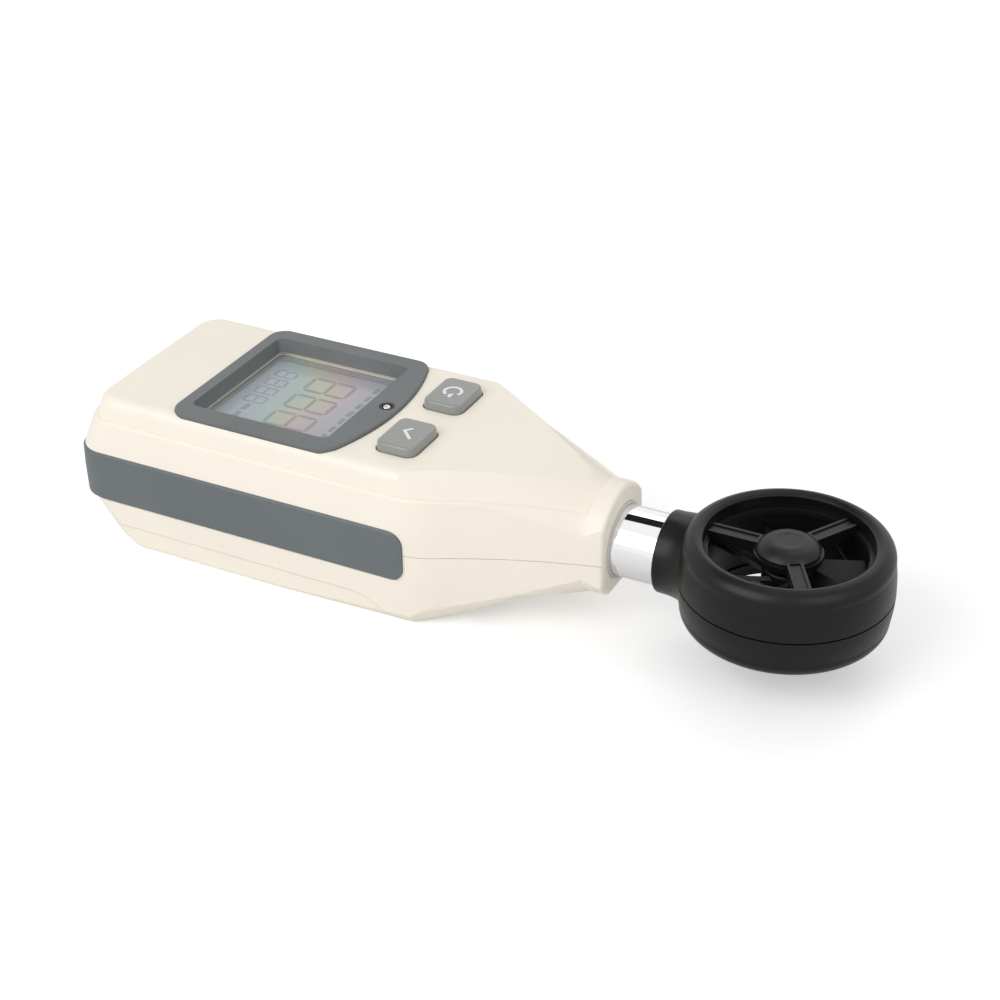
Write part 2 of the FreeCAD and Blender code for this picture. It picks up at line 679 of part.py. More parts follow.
def lower_form():
    """Outer form of the rear case and battery door together."""
    body = plan_loft(lower_levels(), 0.0).common(bottom_form(0.0, FAR))
    body = body.makeFillet(BOTTOM_EDGE_RADIUS, edges_where(body, bottom_rim))
    body = body.common(lower_flare(0.0))
    body = body.makeFillet(COLLAR_EDGE, end_edges(body))
    taper = sole_taper()
    return body.cut([taper, mirrored(taper)])


def cavity(levels, form, flare, inset):
    """Room inside the case walls, as far as the shoulders."""
    end_x = SHOULDER_X + SHOULDER_LENGTH / 4
    room = plan_loft(levels, inset).common(form(inset, CASE_LENGTH)).common(flare(inset))
    return room.common(box(-FAR, end_x, -FAR, FAR, -FAR, FAR))


def upper_room(inset):
    """Room inside the front case."""
    return cavity(upper_levels(), top_form, upper_flare, inset)


def lower_room(inset):
    """Room inside the rear case."""
    return cavity(lower_levels(), bottom_form, lower_flare, inset)


def bottom_height(x):
    """Height of the case's bottom surface at a station."""
    along = x - BELLY_X
    convex = BELLY_ARCS * BELLY_SHARE
    if along <= 0:
        return FLOOR_Z
    if along < convex * math.sin(BELLY_ANGLE):
        return FLOOR_Z + convex - math.sqrt(convex ** 2 - along ** 2)
    return -NECK_DEPTH


def neck_cavity():
    """Round room in the neck, with a pocket for the retaining flange and a stepped bore for the bush."""
    start_x = SHOULDER_X + SHOULDER_LENGTH / 8
    pocket_radius = FLANGE_RADIUS + FLANGE_ROOM
    pocket_x = FLANGE_X - FLANGE_ROOM
    bore, nose = BUSH_RADIUS + RUN_GAP, BUSH_NOSE_RADIUS + RUN_GAP
    nose_x = CASE_LENGTH - BUSH_NOSE_LENGTH + RUN_GAP
    end_x = CASE_LENGTH + OVER
    stations = [start_x + (pocket_x - start_x) * t / 3 for t in range(3)]
    points = [V(x, 0, -bottom_height(x) - NECK_WALL) for x in stations]
    points += [
        V(pocket_x, 0, pocket_radius), V(BUSH_X, 0, pocket_radius), V(BUSH_X, 0, bore), V(nose_x, 0, bore),
        V(nose_x, 0, nose), V(end_x, 0, nose), V(end_x, 0, 0), V(start_x, 0, 0)]
    return turned(points, V(0, 0, 0), X_AXIS)


def bumper_band(outset, depth, grow):
    """U-shaped band round the base end; outset is its crown, depth its inner face."""
    low, high = BUMPER_BOTTOM_Z - grow, BUMPER_TOP_Z + grow
    edge = outset - BUMPER_CROWN
    base_x = BASE_SETBACK + BUMPER_BASE_LEAN

    def wire(z, out):
        """Outline of the band's outer face at one height."""
        return plan_wire(z, -out, base_x - out)

    outer = Part.makeLoft([
        wire(low, edge - BUMPER_EDGE), wire(low + BUMPER_EDGE, edge), wire(SEAM_Z, outset),
        wire(high - BUMPER_EDGE, edge), wire(high, edge - BUMPER_EDGE)], True, True)
    inner = plan_loft([(low - OVER, 0, base_x), (high + OVER, 0, base_x)], depth)
    radius = BUMPER_END_RADIUS + grow
    cut = radius * (1 - math.sqrt(0.5))
    end = BUMPER_LENGTH + grow
    side = path(
        V(-FAR, -FAR, low), (V(end - radius, -FAR, low),),
        (V(end - cut, -FAR, low + cut), V(end, -FAR, low + radius)), (V(end, -FAR, high - radius),),
        (V(end - cut, -FAR, high - cut), V(end - radius, -FAR, high)),
        (V(-FAR, -FAR, high),), (V(-FAR, -FAR, low),))
    return outer.cut(inner).common(Part.Face(side).extrude(V(0, 2 * FAR, 0)))


def side_bumper():
    """Rubber strip along both sides and round the base end, in a groove across the seam."""
    return bumper_band(BUMPER_PROUD, BUMPER_DEPTH, 0.0)


def bumper_groove():
    """Groove in both case halves that holds the bumper."""
    return bumper_band(BUMPER_PROUD + 2 * OVER, BUMPER_DEPTH + RUN_GAP, RUN_GAP)


def seam_groove():
    """Fine groove round the outside of the case where the two halves meet."""
    low = SEAM_Z - SEAM_GROOVE
    outer = plan_loft([(low, 0, 0), (SEAM_Z, 0, 0)], -2 * OVER)
    levels = [(low - OVER, 0, BASE_SETBACK), (SEAM_Z + OVER, 0, BASE_SETBACK)]
    return outer.cut(plan_loft(levels, SEAM_GROOVE_DEPTH))


# ---- Display -----------------------------------------------------------------------------
def bezel_plan(low_z, high_z, grow):
    """Bezel outline: straight base edge, straight sides and a bowed edge towards the head."""
    half = BEZEL_HALF_WIDTH + grow
    start = BEZEL_START_X - grow
    bow = BEZEL_BOW_RADIUS + grow
    apex = BEZEL_END_X + grow
    corner_x = apex - bow + math.sqrt(bow ** 2 - half ** 2)
    wire = path(
        V(start, -half, low_z), (V(corner_x, -half, low_z),), (V(apex, 0, low_z), V(corner_x, half, low_z)),
        (V(start, half, low_z),), (V(start, -half, low_z),))
    plate = Part.Face(wire).extrude(V(0, 0, high_z - low_z))
    upright = [edge for edge in plate.Edges if edge.BoundBox.ZLength > high_z - low_z - 0.01]
    return plate.makeFillet(BEZEL_CORNER + grow, upright)


def display_bezel():
    """Dark frame round the screen, seated on the case's ledge and a little proud of the top."""
    plate = bezel_plan(BEZEL_SEAT_Z, BEZEL_TOP_Z, 0.0)
    plate = plate.makeFillet(BEZEL_EDGE, edges_where(plate, at_height(BEZEL_TOP_Z)))
    half_x = SCREEN_LENGTH / 2
    opening = Part.makeLoft([
        rounded_wire(SCREEN_X, 0, half_x - SCREEN_SLANT, SCREEN_HALF_WIDTH - SCREEN_SLANT, BEZEL_SEAT_Z,
                     SCREEN_CORNER - SCREEN_SLANT / 2),
        rounded_wire(SCREEN_X, 0, half_x, SCREEN_HALF_WIDTH, BEZEL_TOP_Z, SCREEN_CORNER)], True, True)
    hole = post(SENSOR_X, 0, BEZEL_SEAT_Z - 1, BEZEL_TOP_Z + 1, SENSOR_RADIUS + GROMMET_WALL + RUN_GAP)
    return plate.cut(opening).cut(hole)


def window_block(low_z, high_z, grow):
    """Outline of the clear window, lapping under the bezel."""
    lap = WINDOW_LAP - SCREEN_SLANT + grow
    half_x = SCREEN_LENGTH / 2 + lap
    return rounded_box(SCREEN_X, 0, half_x, SCREEN_HALF_WIDTH + lap, low_z, high_z, SCREEN_CORNER)


def display_window():
    """Clear window over the screen."""
    return window_block(LEDGE_Z, BEZEL_SEAT_Z - RUN_GAP, 0.0)


def lcd_outline(low_z, high_z, grow):
    """Plan of the screen module behind the ledge."""
    half_x = SCREEN_LENGTH / 2 + LCD_OVERHANG + grow
    half_y = SCREEN_HALF_WIDTH + LCD_OVERHANG + grow
    return box(SCREEN_X - half_x, SCREEN_X + half_x, -half_y, half_y, low_z, high_z)


def lcd_module():
    """Glass screen module; its terminal edge overhangs the front glass."""
    top = LCD_BOTTOM_Z + LCD_THICKNESS
    module = lcd_outline(LCD_BOTTOM_Z, top, 0.0)
    shelf_x = SCREEN_X - SCREEN_LENGTH / 2 - LCD_OVERHANG
    return module.cut(box(shelf_x - 1, shelf_x + ZEBRA_WIDTH, -FAR, FAR, top - LCD_THICKNESS / 2, top + 1))


def zebra_strips():
    """Two rubber connector strips between the screen module and the board."""
    half_x = SCREEN_LENGTH / 2 + LCD_OVERHANG - ZEBRA_INSET
    strip = [
        box(x, x + ZEBRA_WIDTH, -SCREEN_HALF_WIDTH, SCREEN_HALF_WIDTH, BOARD_TOP_Z, LCD_BOTTOM_Z)
        for x in (SCREEN_X - half_x, SCREEN_X + half_x - ZEBRA_WIDTH)]
    return group(strip)


def sensor_grommet():
    """Rubber ring that holds the temperature sensor in the bezel."""
    outer = post(SENSOR_X, 0, BEZEL_SEAT_Z, BEZEL_TOP_Z, SENSOR_RADIUS + GROMMET_WALL)
    return outer.cut(post(SENSOR_X, 0, BEZEL_SEAT_Z - 1, BEZEL_TOP_Z + 1, SENSOR_RADIUS))


def temperature_sensor():
    """Metal-capped sensor with a domed end, standing on two leads from the board."""
    dome_z = BEZEL_TOP_Z - SENSOR_RADIUS * SENSOR_DOME_SHARE
    can_z = BOARD_TOP_Z + ZEBRA_HEIGHT
    can = post(SENSOR_X, 0, can_z, dome_z, SENSOR_RADIUS)
    dome = Part.makeSphere(SENSOR_RADIUS, V(SENSOR_X, 0, dome_z))
    leads = [
        post(SENSOR_X, sign * SENSOR_RADIUS / 2, BOARD_TOP_Z, can_z + SENSOR_LEAD_LAP, SENSOR_LEAD_RADIUS)
        for sign in (-1, 1)]
    return fused([can, dome] + leads)


# ---- Keys --------------------------------------------------------------------------------
def key_cap(sign):
    """Silicone key with a bevelled top, a lip under the case wall and a plunger."""
    y = sign * KEY_CENTRE_Y
    body = rounded_box(KEY_CENTRE_X, y, KEY_HALF_LENGTH, KEY_HALF_WIDTH, KEY_LIP_Z - KEY_LIP_THICKNESS,
                       KEY_BASE_Z, KEY_CORNER)
    top = Part.makeLoft([
        rounded_wire(KEY_CENTRE_X, y, KEY_HALF_LENGTH, KEY_HALF_WIDTH, KEY_BASE_Z, KEY_CORNER),
        rounded_wire(KEY_CENTRE_X, y, KEY_HALF_LENGTH - KEY_DRAFT, KEY_HALF_WIDTH - KEY_DRAFT, KEY_TOP_Z,
                     KEY_CORNER - KEY_DRAFT)], True, True)
    top = top.makeFillet(KEY_EDGE, edges_where(top, at_height(KEY_TOP_Z)))
    lip = rounded_box(KEY_CENTRE_X, y, KEY_HALF_LENGTH + KEY_LIP, KEY_HALF_WIDTH + KEY_LIP,
                      KEY_LIP_Z - KEY_LIP_THICKNESS, KEY_LIP_Z, KEY_CORNER)
    plunger = rounded_box(KEY_CENTRE_X, y, PLUNGER_HALF, PLUNGER_HALF, PILL_Z + PILL_THICKNESS,
                          KEY_LIP_Z - KEY_LIP_THICKNESS, KEY_CORNER)
    return fused([body, top, lip, plunger])


def key_pill(sign):
    """Conductive pill under the plunger."""
    return post(KEY_CENTRE_X, sign * KEY_CENTRE_Y, PILL_Z, PILL_Z + PILL_THICKNESS, PILL_RADIUS)


def key_holes():
    """Openings for both keys in the top of the case."""
    return [
        rounded_box(KEY_CENTRE_X, sign * KEY_CENTRE_Y, KEY_HALF_LENGTH + KEY_GAP, KEY_HALF_WIDTH + KEY_GAP,
                    INNER_TOP_Z - 1, TOP_Z + 1, KEY_CORNER + KEY_GAP)
        for sign in (-1, 1)]


def keypad_mat():
    """Silicone sheet on the board with an opening under each plunger."""
    half_x = KEY_HALF_LENGTH + MAT_MARGIN
    half_y = KEY_CENTRE_Y + KEY_HALF_WIDTH + MAT_MARGIN / 2
    top = BOARD_TOP_Z + MAT_THICKNESS
    sheet = box(KEY_CENTRE_X - half_x, KEY_CENTRE_X + half_x, -half_y, half_y, BOARD_TOP_Z, top)
    room = PLUNGER_HALF + KEY_TRAVEL
    for sign in (-1, 1):
        sheet = sheet.cut(rounded_box(KEY_CENTRE_X, sign * KEY_CENTRE_Y, room, room, BOARD_TOP_Z - OVER,
                                      top + OVER, KEY_CORNER))
    return sheet


# ---- Main board and what it carries ------------------------------------------------------
def pairs(places):
    """Both sides of each (x, y) place."""
    return [(x, sign * y) for x, y in places for sign in (-1, 1)]


def main_board():
    """Printed circuit board that follows the case walls."""
    low, high = BOARD_Z, BOARD_TOP_Z
    board = plan_loft([(low, SIDE_LEAN, 0), (high, SIDE_LEAN, 0)], CASE_WALL + BOARD_SIDE_GAP)
    board = board.common(box(BOARD_START_X, BOARD_END_X, -FAR, FAR, low, high))
    for x, y in pairs(BOARD_HOLES):
        board = board.cut(post(x, y, low - 1, high + 1, BOARD_SCREW_RADIUS + KEY_GAP))
    return board


def chip(x, y, half, height):
    """Square block on the underside of the board."""
    return box(x - half, x + half, y - half, y + half, BOARD_Z - height, BOARD_Z)


def piezo_buzzer():
    """Round sounder under the board with a port in the middle of its underside."""
    low = BOARD_Z - BUZZER_HEIGHT
    can = post(BUZZER_X, BUZZER_Y, low, BOARD_Z, BUZZER_RADIUS)
    return can.cut(post(BUZZER_X, BUZZER_Y, low - OVER, low + BUZZER_PORT_DEPTH, BUZZER_PORT_RADIUS))


def lead_connector():
    """Socket under the board that takes the lead from the head."""
    return box(CONNECTOR_X, CONNECTOR_X + CONNECTOR_LENGTH, -CONNECTOR_HALF_WIDTH, CONNECTOR_HALF_WIDTH,
               BOARD_Z - CONNECTOR_HEIGHT, BOARD_Z)


def screw(x, y, seat_z, head_radius, head_height, radius, length, crossed=False):
    """Screw driven from below: a slotted or crossed head under its seat and a plain shank."""
    low = seat_z - head_height
    reach = head_radius * SLOT_REACH
    deep = low + head_height * SLOT_DEPTH
    slots = [box(x - SLOT_HALF_WIDTH, x + SLOT_HALF_WIDTH, y - reach, y + reach, low - OVER, deep)]
    if crossed:
        slots.append(box(x - reach, x + reach, y - SLOT_HALF_WIDTH, y + SLOT_HALF_WIDTH, low - OVER, deep))
    head = post(x, y, low, seat_z, head_radius).cut(slots)
    return fused([head, post(x, y, seat_z, seat_z + length, radius)])


def board_screws():
    """Screws that hold the board to the pillars of the front case."""
    return group([
        screw(x, y, BOARD_Z, BOARD_SCREW_HEAD, BOARD_SCREW_HEAD_HEIGHT, BOARD_SCREW_RADIUS,
              BOARD_SCREW_LENGTH)
        for x, y in pairs(BOARD_HOLES)])


# ---- Case halves -------------------------------------------------------------------------
def stop_ribs():
    """Two ribs in the rear case that stop the flange's lug a quarter turn either way."""
    reach = math.radians(SWIVEL_LIMIT + LUG_HALF_ANGLE + STOP_MARGIN)
    radius = FLANGE_RADIUS + FLANGE_ROOM
    top = radius * math.cos(reach)
    rib = box(FLANGE_X - FLANGE_ROOM, FLANGE_X + FLANGE_THICKNESS, FLANGE_RADIUS + RUN_GAP,
              CASE_HALF_WIDTH - CASE_WALL, top - CASE_WALL, top)
    return [rib, mirrored(rib)]


def swivel_pocket():
    """Room in the neck for the flange's lug as it swings from side to side."""
    radius = FLANGE_RADIUS + LUG_HEIGHT + FLANGE_ROOM
    ring = rod(FLANGE_X - FLANGE_ROOM, FLANGE_X + FLANGE_THICKNESS + FLANGE_ROOM, radius)
    depth = radius * math.cos(math.radians(SWIVEL_LIMIT + LUG_HALF_ANGLE + STOP_MARGIN))
    return ring.common(box(-FAR, FAR, -FAR, FAR, depth, FAR))


def front_case():
    """Upper half of the case: keys, display pocket, screw bosses and board pillars."""
    outer = upper_form()
    room = fused([upper_room(CASE_WALL), neck_cavity(), swivel_pocket()])
    ledge = bezel_plan(LEDGE_BOTTOM_Z, TOP_Z, LEDGE_MARGIN)
    root_z = INNER_TOP_Z + CASE_WALL / 2
    bosses = [post(x, y, SEAM_Z, root_z, BOSS_RADIUS) for x, y in pairs(CASE_HOLES)]
    pillars = [post(x, y, BOARD_TOP_Z, root_z, PILLAR_RADIUS) for x, y in pairs(BOARD_HOLES)]
    inside = fused([ledge] + bosses + pillars).common(outer)
    shell = fused([outer.cut(room), inside])
    cuts = [bezel_plan(BEZEL_SEAT_Z, FAR, SEAT_GAP), window_block(LEDGE_Z, FAR, SEAT_GAP)]
    aperture = SCREEN_LENGTH / 2 - LEDGE_WIDTH + WINDOW_LAP
    half_y = SCREEN_HALF_WIDTH - LEDGE_WIDTH + WINDOW_LAP
    cuts.append(rounded_box(SCREEN_X, 0, aperture, half_y, LEDGE_BOTTOM_Z - OVER, LEDGE_Z + OVER,
                            SCREEN_CORNER))
    cuts.append(post(SENSOR_X, 0, 0, FAR, SENSOR_RADIUS + SEAT_GAP))
    cuts += key_holes()
    cuts.append(bumper_groove())
    case_reach = CASE_SCREW_SEAT_Z + CASE_SCREW_LENGTH + SCREW_TIP_ROOM
    board_reach = BOARD_Z + BOARD_SCREW_LENGTH + SCREW_TIP_ROOM
    for x, y in pairs(CASE_HOLES):
        cuts.append(post(x, y, SEAM_Z - OVER, case_reach, CASE_SCREW_RADIUS + SCREW_GAP))
    for x, y in pairs(BOARD_HOLES):
        cuts.append(post(x, y, BOARD_TOP_Z - OVER, board_reach, BOARD_SCREW_RADIUS + SCREW_GAP))
    return shell.cut(cuts)


def door_region(grow):
    """Part of the lower form that belongs to the battery door."""
    middle_x = DOOR_CURVE_X + DOOR_CURVE_LENGTH * DOOR_CURVE_BOW
    wire = path(
        V(-FAR, -FAR, CHIN_Z + grow), (V(DOOR_CURVE_X, -FAR, CHIN_Z + grow),),
        (V(middle_x + grow, -FAR, KEEL_Z + CASE_WALL / 3), V(DOOR_END_X + grow, -FAR, FLOOR_Z)),
        (V(DOOR_END_X + grow, -FAR, -FAR),), (V(-FAR, -FAR, -FAR),), (V(-FAR, -FAR, CHIN_Z + grow),))
    return Part.Face(wire).extrude(V(0, 2 * FAR, 0))


def bay_walls():
    """Roof and walls of the battery bay, with a groove for the door's rails on each side."""
    outer_y = BAY_HALF_WIDTH + BAY_WALL
    low_x, high_x = BAY_START_X - BAY_WALL, BAY_END_X + BAY_WALL
    block = box(low_x, high_x, -outer_y, outer_y, BAY_FOOT_Z, ROOF_Z + BAY_WALL)
    roof = box(low_x, high_x, -FAR, FAR, ROOF_Z, ROOF_Z + BAY_WALL)
    bay = box(BAY_START_X, BAY_END_X, -BAY_HALF_WIDTH, BAY_HALF_WIDTH, -FAR, ROOF_Z)
    groove_top = CHIN_Z - RAIL_DROP + DOOR_GAP
    groove = box(low_x - OVER, high_x + OVER, outer_y - RAIL_GRIP - DOOR_GAP, outer_y + OVER,
                 groove_top - RAIL_HEIGHT - 2 * DOOR_GAP, groove_top)
    slots = [tab_box(BAY_START_X, -CELL_PITCH, SEAT_GAP), tab_box(BAY_END_X, CELL_PITCH, SEAT_GAP)]
    walls = block.cut([bay, groove, mirrored(groove)] + slots)
    return walls.common(lower_room(DOOR_WALL + SEAT_GAP)), roof.cut(slots)


def rear_case():
    """Lower half of the case with the battery bay, the screw seats and the neck saddle."""
    outer = lower_form()
    room = fused([lower_room(CASE_WALL), neck_cavity(), swivel_pocket()])
    walls, roof = bay_walls()
    bosses = [post(x, y, FLOOR_Z, SEAM_Z, BOSS_RADIUS) for x, y in pairs(CASE_HOLES)]
    inside = fused([roof] + bosses + stop_ribs()).common(outer)
    shell = fused([outer.cut(room), inside]).cut(neck_cavity_end())
    shell = fused([shell.cut(door_region(DOOR_GAP)), walls])
    shell = shell.cut(box(BAY_START_X, BAY_END_X, -BAY_HALF_WIDTH, BAY_HALF_WIDTH, FLOOR_Z, ROOF_Z))
    tongue = TONGUE_THICKNESS + 2 * DOOR_GAP
    cuts = [
        box(DOOR_END_X - TONGUE_ROOT, DOOR_END_X + TONGUE_LENGTH + SEAT_GAP, -TONGUE_HALF_WIDTH - SEAT_GAP,
            TONGUE_HALF_WIDTH + SEAT_GAP, FLOOR_Z + TONGUE_THICKNESS,
            FLOOR_Z + TONGUE_THICKNESS + tongue + OVER),
        bumper_groove(), seam_groove()]
    for x, y in pairs(CASE_HOLES):
        cuts.append(post(x, y, -FAR, CASE_SCREW_SEAT_Z, CASE_SCREW_HEAD + SEAT_GAP))
        cuts.append(post(x, y, CASE_SCREW_SEAT_Z - OVER, FAR, CASE_SCREW_RADIUS + SEAT_GAP))
    return shell.cut(cuts)


def neck_cavity_end():
    """The part of the neck's room that holds the bush, past the swivel's stops."""
    return neck_cavity().common(box(BUSH_X, FAR, -FAR, FAR, -FAR, FAR))


def case_screws():
    """Screws from the back of the case into the bosses of the front half."""
    return group([
        screw(x, y, CASE_SCREW_SEAT_Z, CASE_SCREW_HEAD, CASE_SCREW_HEAD_HEIGHT, CASE_SCREW_RADIUS,
              CASE_SCREW_LENGTH, crossed=True)
        for x, y in pairs(CASE_HOLES)])


def battery_door():
    """Sliding door that closes the back and the lower base corner, with rails and a tongue."""
    shell = lower_form().cut(lower_room(DOOR_WALL)).common(door_region(0.0))
    outer_y = BAY_HALF_WIDTH + BAY_WALL
    rail_top = CHIN_Z - RAIL_DROP
    rail = box(BAY_START_X + RAIL_END_GAP, BAY_END_X - RAIL_END_GAP, outer_y - RAIL_GRIP, CASE_HALF_WIDTH,
               rail_top - RAIL_HEIGHT, rail_top)
    rails = [side.common(lower_form()) for side in (rail, mirrored(rail))]
    tongue_z = FLOOR_Z + TONGUE_THICKNESS + DOOR_GAP
    tongue = box(DOOR_END_X - TONGUE_ROOT, DOOR_END_X + TONGUE_LENGTH, -TONGUE_HALF_WIDTH,
                 TONGUE_HALF_WIDTH, tongue_z, tongue_z + TONGUE_THICKNESS)
    grips = []
    for index in range(GRIP_COUNT):
        start = V(GRIP_START_X + index * GRIP_PITCH, -GRIP_HALF_WIDTH, FLOOR_Z - GRIP_DEPTH / 2)
        grips.append(Part.makeCylinder(GRIP_DEPTH * 1.5, 2 * GRIP_HALF_WIDTH, start, Y_AXIS))
    return fused([shell, tongue] + rails).cut(grips)


# ---- Batteries ---------------------------------------------------------------------------
def cell_places():
    """Side position of each cell and which way it points: 1 has its nub towards the head."""
    return ((-CELL_PITCH, 1), (0.0, -1), (CELL_PITCH, 1))


def battery_cell(y, way):
    """Small dry cell with its nub."""
    start_x = BAY_START_X + CONTACT_THICKNESS + SEAT_GAP + (SPRING_LENGTH if way > 0 else CELL_NUB_LENGTH)
    can = rod(start_x, start_x + CELL_LENGTH, CELL_RADIUS, y, CELL_Z)
    rims = [edge for edge in can.Edges if isinstance(edge.Curve, Part.Circle)]
    can = can.makeFillet(CELL_EDGE, rims)
    nub_x = start_x + CELL_LENGTH if way > 0 else start_x - CELL_NUB_LENGTH
    return fused([can, rod(nub_x, nub_x + CELL_NUB_LENGTH, CELL_NUB_RADIUS, y, CELL_Z)])


def spring_section(radius):
    """Eight-sided section of the spring wire, standing across the start of the coil."""
    turns = [math.radians(45 * index) for index in range(8)]
    return Part.makePolygon([
        V(SPRING_RADIUS + radius * math.cos(turn), 0, radius * math.sin(turn))
        for turn in turns + turns[:1]])


def battery_spring(y, way):
    """Conical contact spring that presses the flat end of a cell."""
    height = SPRING_LENGTH - 2 * SPRING_WIRE_RADIUS - 2 * RUN_GAP
    count = int(SPRING_TURNS * SPRING_STEPS)
    points = []
    for index in range(count + 1):
        share = index / count
        radius = SPRING_RADIUS + (SPRING_TIP_RADIUS - SPRING_RADIUS) * share
        turn = 2 * math.pi * SPRING_TURNS * share
        points.append(V(radius * math.cos(turn), radius * math.sin(turn), height * share))
    coil = Part.BSplineCurve()
    coil.interpolate(points)
    spring = Part.Wire([coil.toShape()]).makePipeShell([spring_section(SPRING_WIRE_RADIUS)], True, True)
    spring.rotate(V(0, 0, 0), Y_AXIS, 90 * way)
    wall_x = BAY_START_X + CONTACT_THICKNESS if way > 0 else BAY_END_X - CONTACT_THICKNESS
    spring.translate(V(wall_x + way * (SPRING_WIRE_RADIUS + RUN_GAP), y, CELL_Z))
    return spring


def battery_springs():
    """One spring per cell."""
    return group([battery_spring(y, way) for y, way in cell_places()])


def tab_box(wall_x, y, grow):
    """Strip that rises from a contact plate through the bay's roof to the board."""
    low_x = wall_x if wall_x < BAY_END_X else wall_x - CONTACT_THICKNESS
    return box(low_x - grow, low_x + CONTACT_THICKNESS + grow, y - TAB_HALF_WIDTH - grow,
               y + TAB_HALF_WIDTH + grow, CELL_Z, BOARD_Z)


def contact_plates(wall_x, tab_y, link_ys):
    """A single plate with its tab and a wide plate that links two cells at one end of the bay."""
    low_x = wall_x if wall_x < BAY_END_X else wall_x - CONTACT_THICKNESS
    high_x = low_x + CONTACT_THICKNESS
    low_z, high_z = CELL_Z - CONTACT_HALF_HEIGHT, CELL_Z + CONTACT_HALF_HEIGHT
    half = CONTACT_HALF_WIDTH
    single = box(low_x, high_x, tab_y - half, tab_y + half, low_z, high_z)
    link = box(low_x, high_x, link_ys[0] - half, link_ys[1] + half, low_z, high_z)
    return group([fused([single, tab_box(wall_x, tab_y, 0.0)]), link])


# ---- Neck: bush, tube and swivel ---------------------------------------------------------
def neck_bush():
    """Plain bearing for the tube, with a narrower nose that shows at the neck."""
    nose_x = CASE_LENGTH - BUSH_NOSE_LENGTH
    nose = rod(nose_x, CASE_LENGTH + BUSH_PROUD, BUSH_NOSE_RADIUS)
    return fused([rod(BUSH_X, nose_x, BUSH_RADIUS), nose]).cut(rod(0, FAR, TUBE_RADIUS + RUN_GAP))


def neck_tube():
    """Bright tube that carries the head and turns in the bush."""
    end_x = HEAD_COLLAR_X + TUBE_IN_HEAD
    return rod(FLANGE_X, end_x, TUBE_RADIUS).cut(rod(0, FAR, TUBE_RADIUS - TUBE_WALL))


def retaining_flange():
    """Ring on the tube's inner end with the lug that meets the stops."""
    ring = rod(FLANGE_X, FLANGE_X + FLANGE_THICKNESS, FLANGE_RADIUS)
    wide = rod(FLANGE_X, FLANGE_X + FLANGE_THICKNESS, FLANGE_RADIUS + LUG_HEIGHT)
    spread = math.radians(LUG_HALF_ANGLE)
    sector = polygon([
        V(0, 0, 0), V(0, -FAR * math.sin(spread), FAR * math.cos(spread)),
        V(0, FAR * math.sin(spread), FAR * math.cos(spread))], V(FAR, 0, 0))
    return fused([ring, wide.common(sector)]).cut(rod(0, FAR, TUBE_RADIUS + SCREW_GAP))


def friction_washer():
    """Waved washer between flange and bush that keeps the head where it is turned."""
    start_x = FLANGE_X + FLANGE_THICKNESS + RUN_GAP
    ring = rod(start_x, BUSH_X - RUN_GAP, FLANGE_RADIUS - FLANGE_ROOM)
    return ring.cut(rod(0, FAR, TUBE_RADIUS + RUN_GAP))


# ---- Head shells -------------------------------------------------------------------------
def about_head(points):
    """Solid of revolution of (radius, z) points about the duct's axis."""
    return turned([V(HEAD_X + r, 0, z) for r, z in points], V(HEAD_X, 0, 0), Z_AXIS)


def collar_section(x, half_width):
    """Oval section of the head's collar, standing across the length axis."""
    if half_width - HEAD_COLLAR_RADIUS < 0.001:
        return Part.Wire([Part.makeCircle(HEAD_COLLAR_RADIUS, V(x, 0, 0), X_AXIS)])
    oval = Part.Ellipse(V(x, half_width, 0), V(x, 0, HEAD_COLLAR_RADIUS), V(x, 0, 0))
    return Part.Wire([oval.toShape()])


def head_collar():
    """Round collar that spreads sideways into the ring along a large arc."""
    reach = (HEAD_RADIUS + HEAD_BLEND_RADIUS) ** 2 - (HEAD_COLLAR_RADIUS + HEAD_BLEND_RADIUS) ** 2
    start_x = HEAD_X - math.sqrt(reach)
    straight = rod(HEAD_COLLAR_X, start_x, HEAD_COLLAR_RADIUS)
    rim = edges_where(straight, lambda point: abs(point.x - HEAD_COLLAR_X) < 0.01)
    sections = []
    for step in range(HEAD_BLEND_STEPS + 1):
        turn = math.radians(HEAD_BLEND_TURN * step / HEAD_BLEND_STEPS)
        half_width = HEAD_COLLAR_RADIUS + HEAD_BLEND_RADIUS * (1 - math.cos(turn))
        sections.append(collar_section(start_x + HEAD_BLEND_RADIUS * math.sin(turn), half_width))
    return fused([straight.makeFillet(HEAD_COLLAR_EDGE, rim), Part.makeLoft(sections, True, False)])


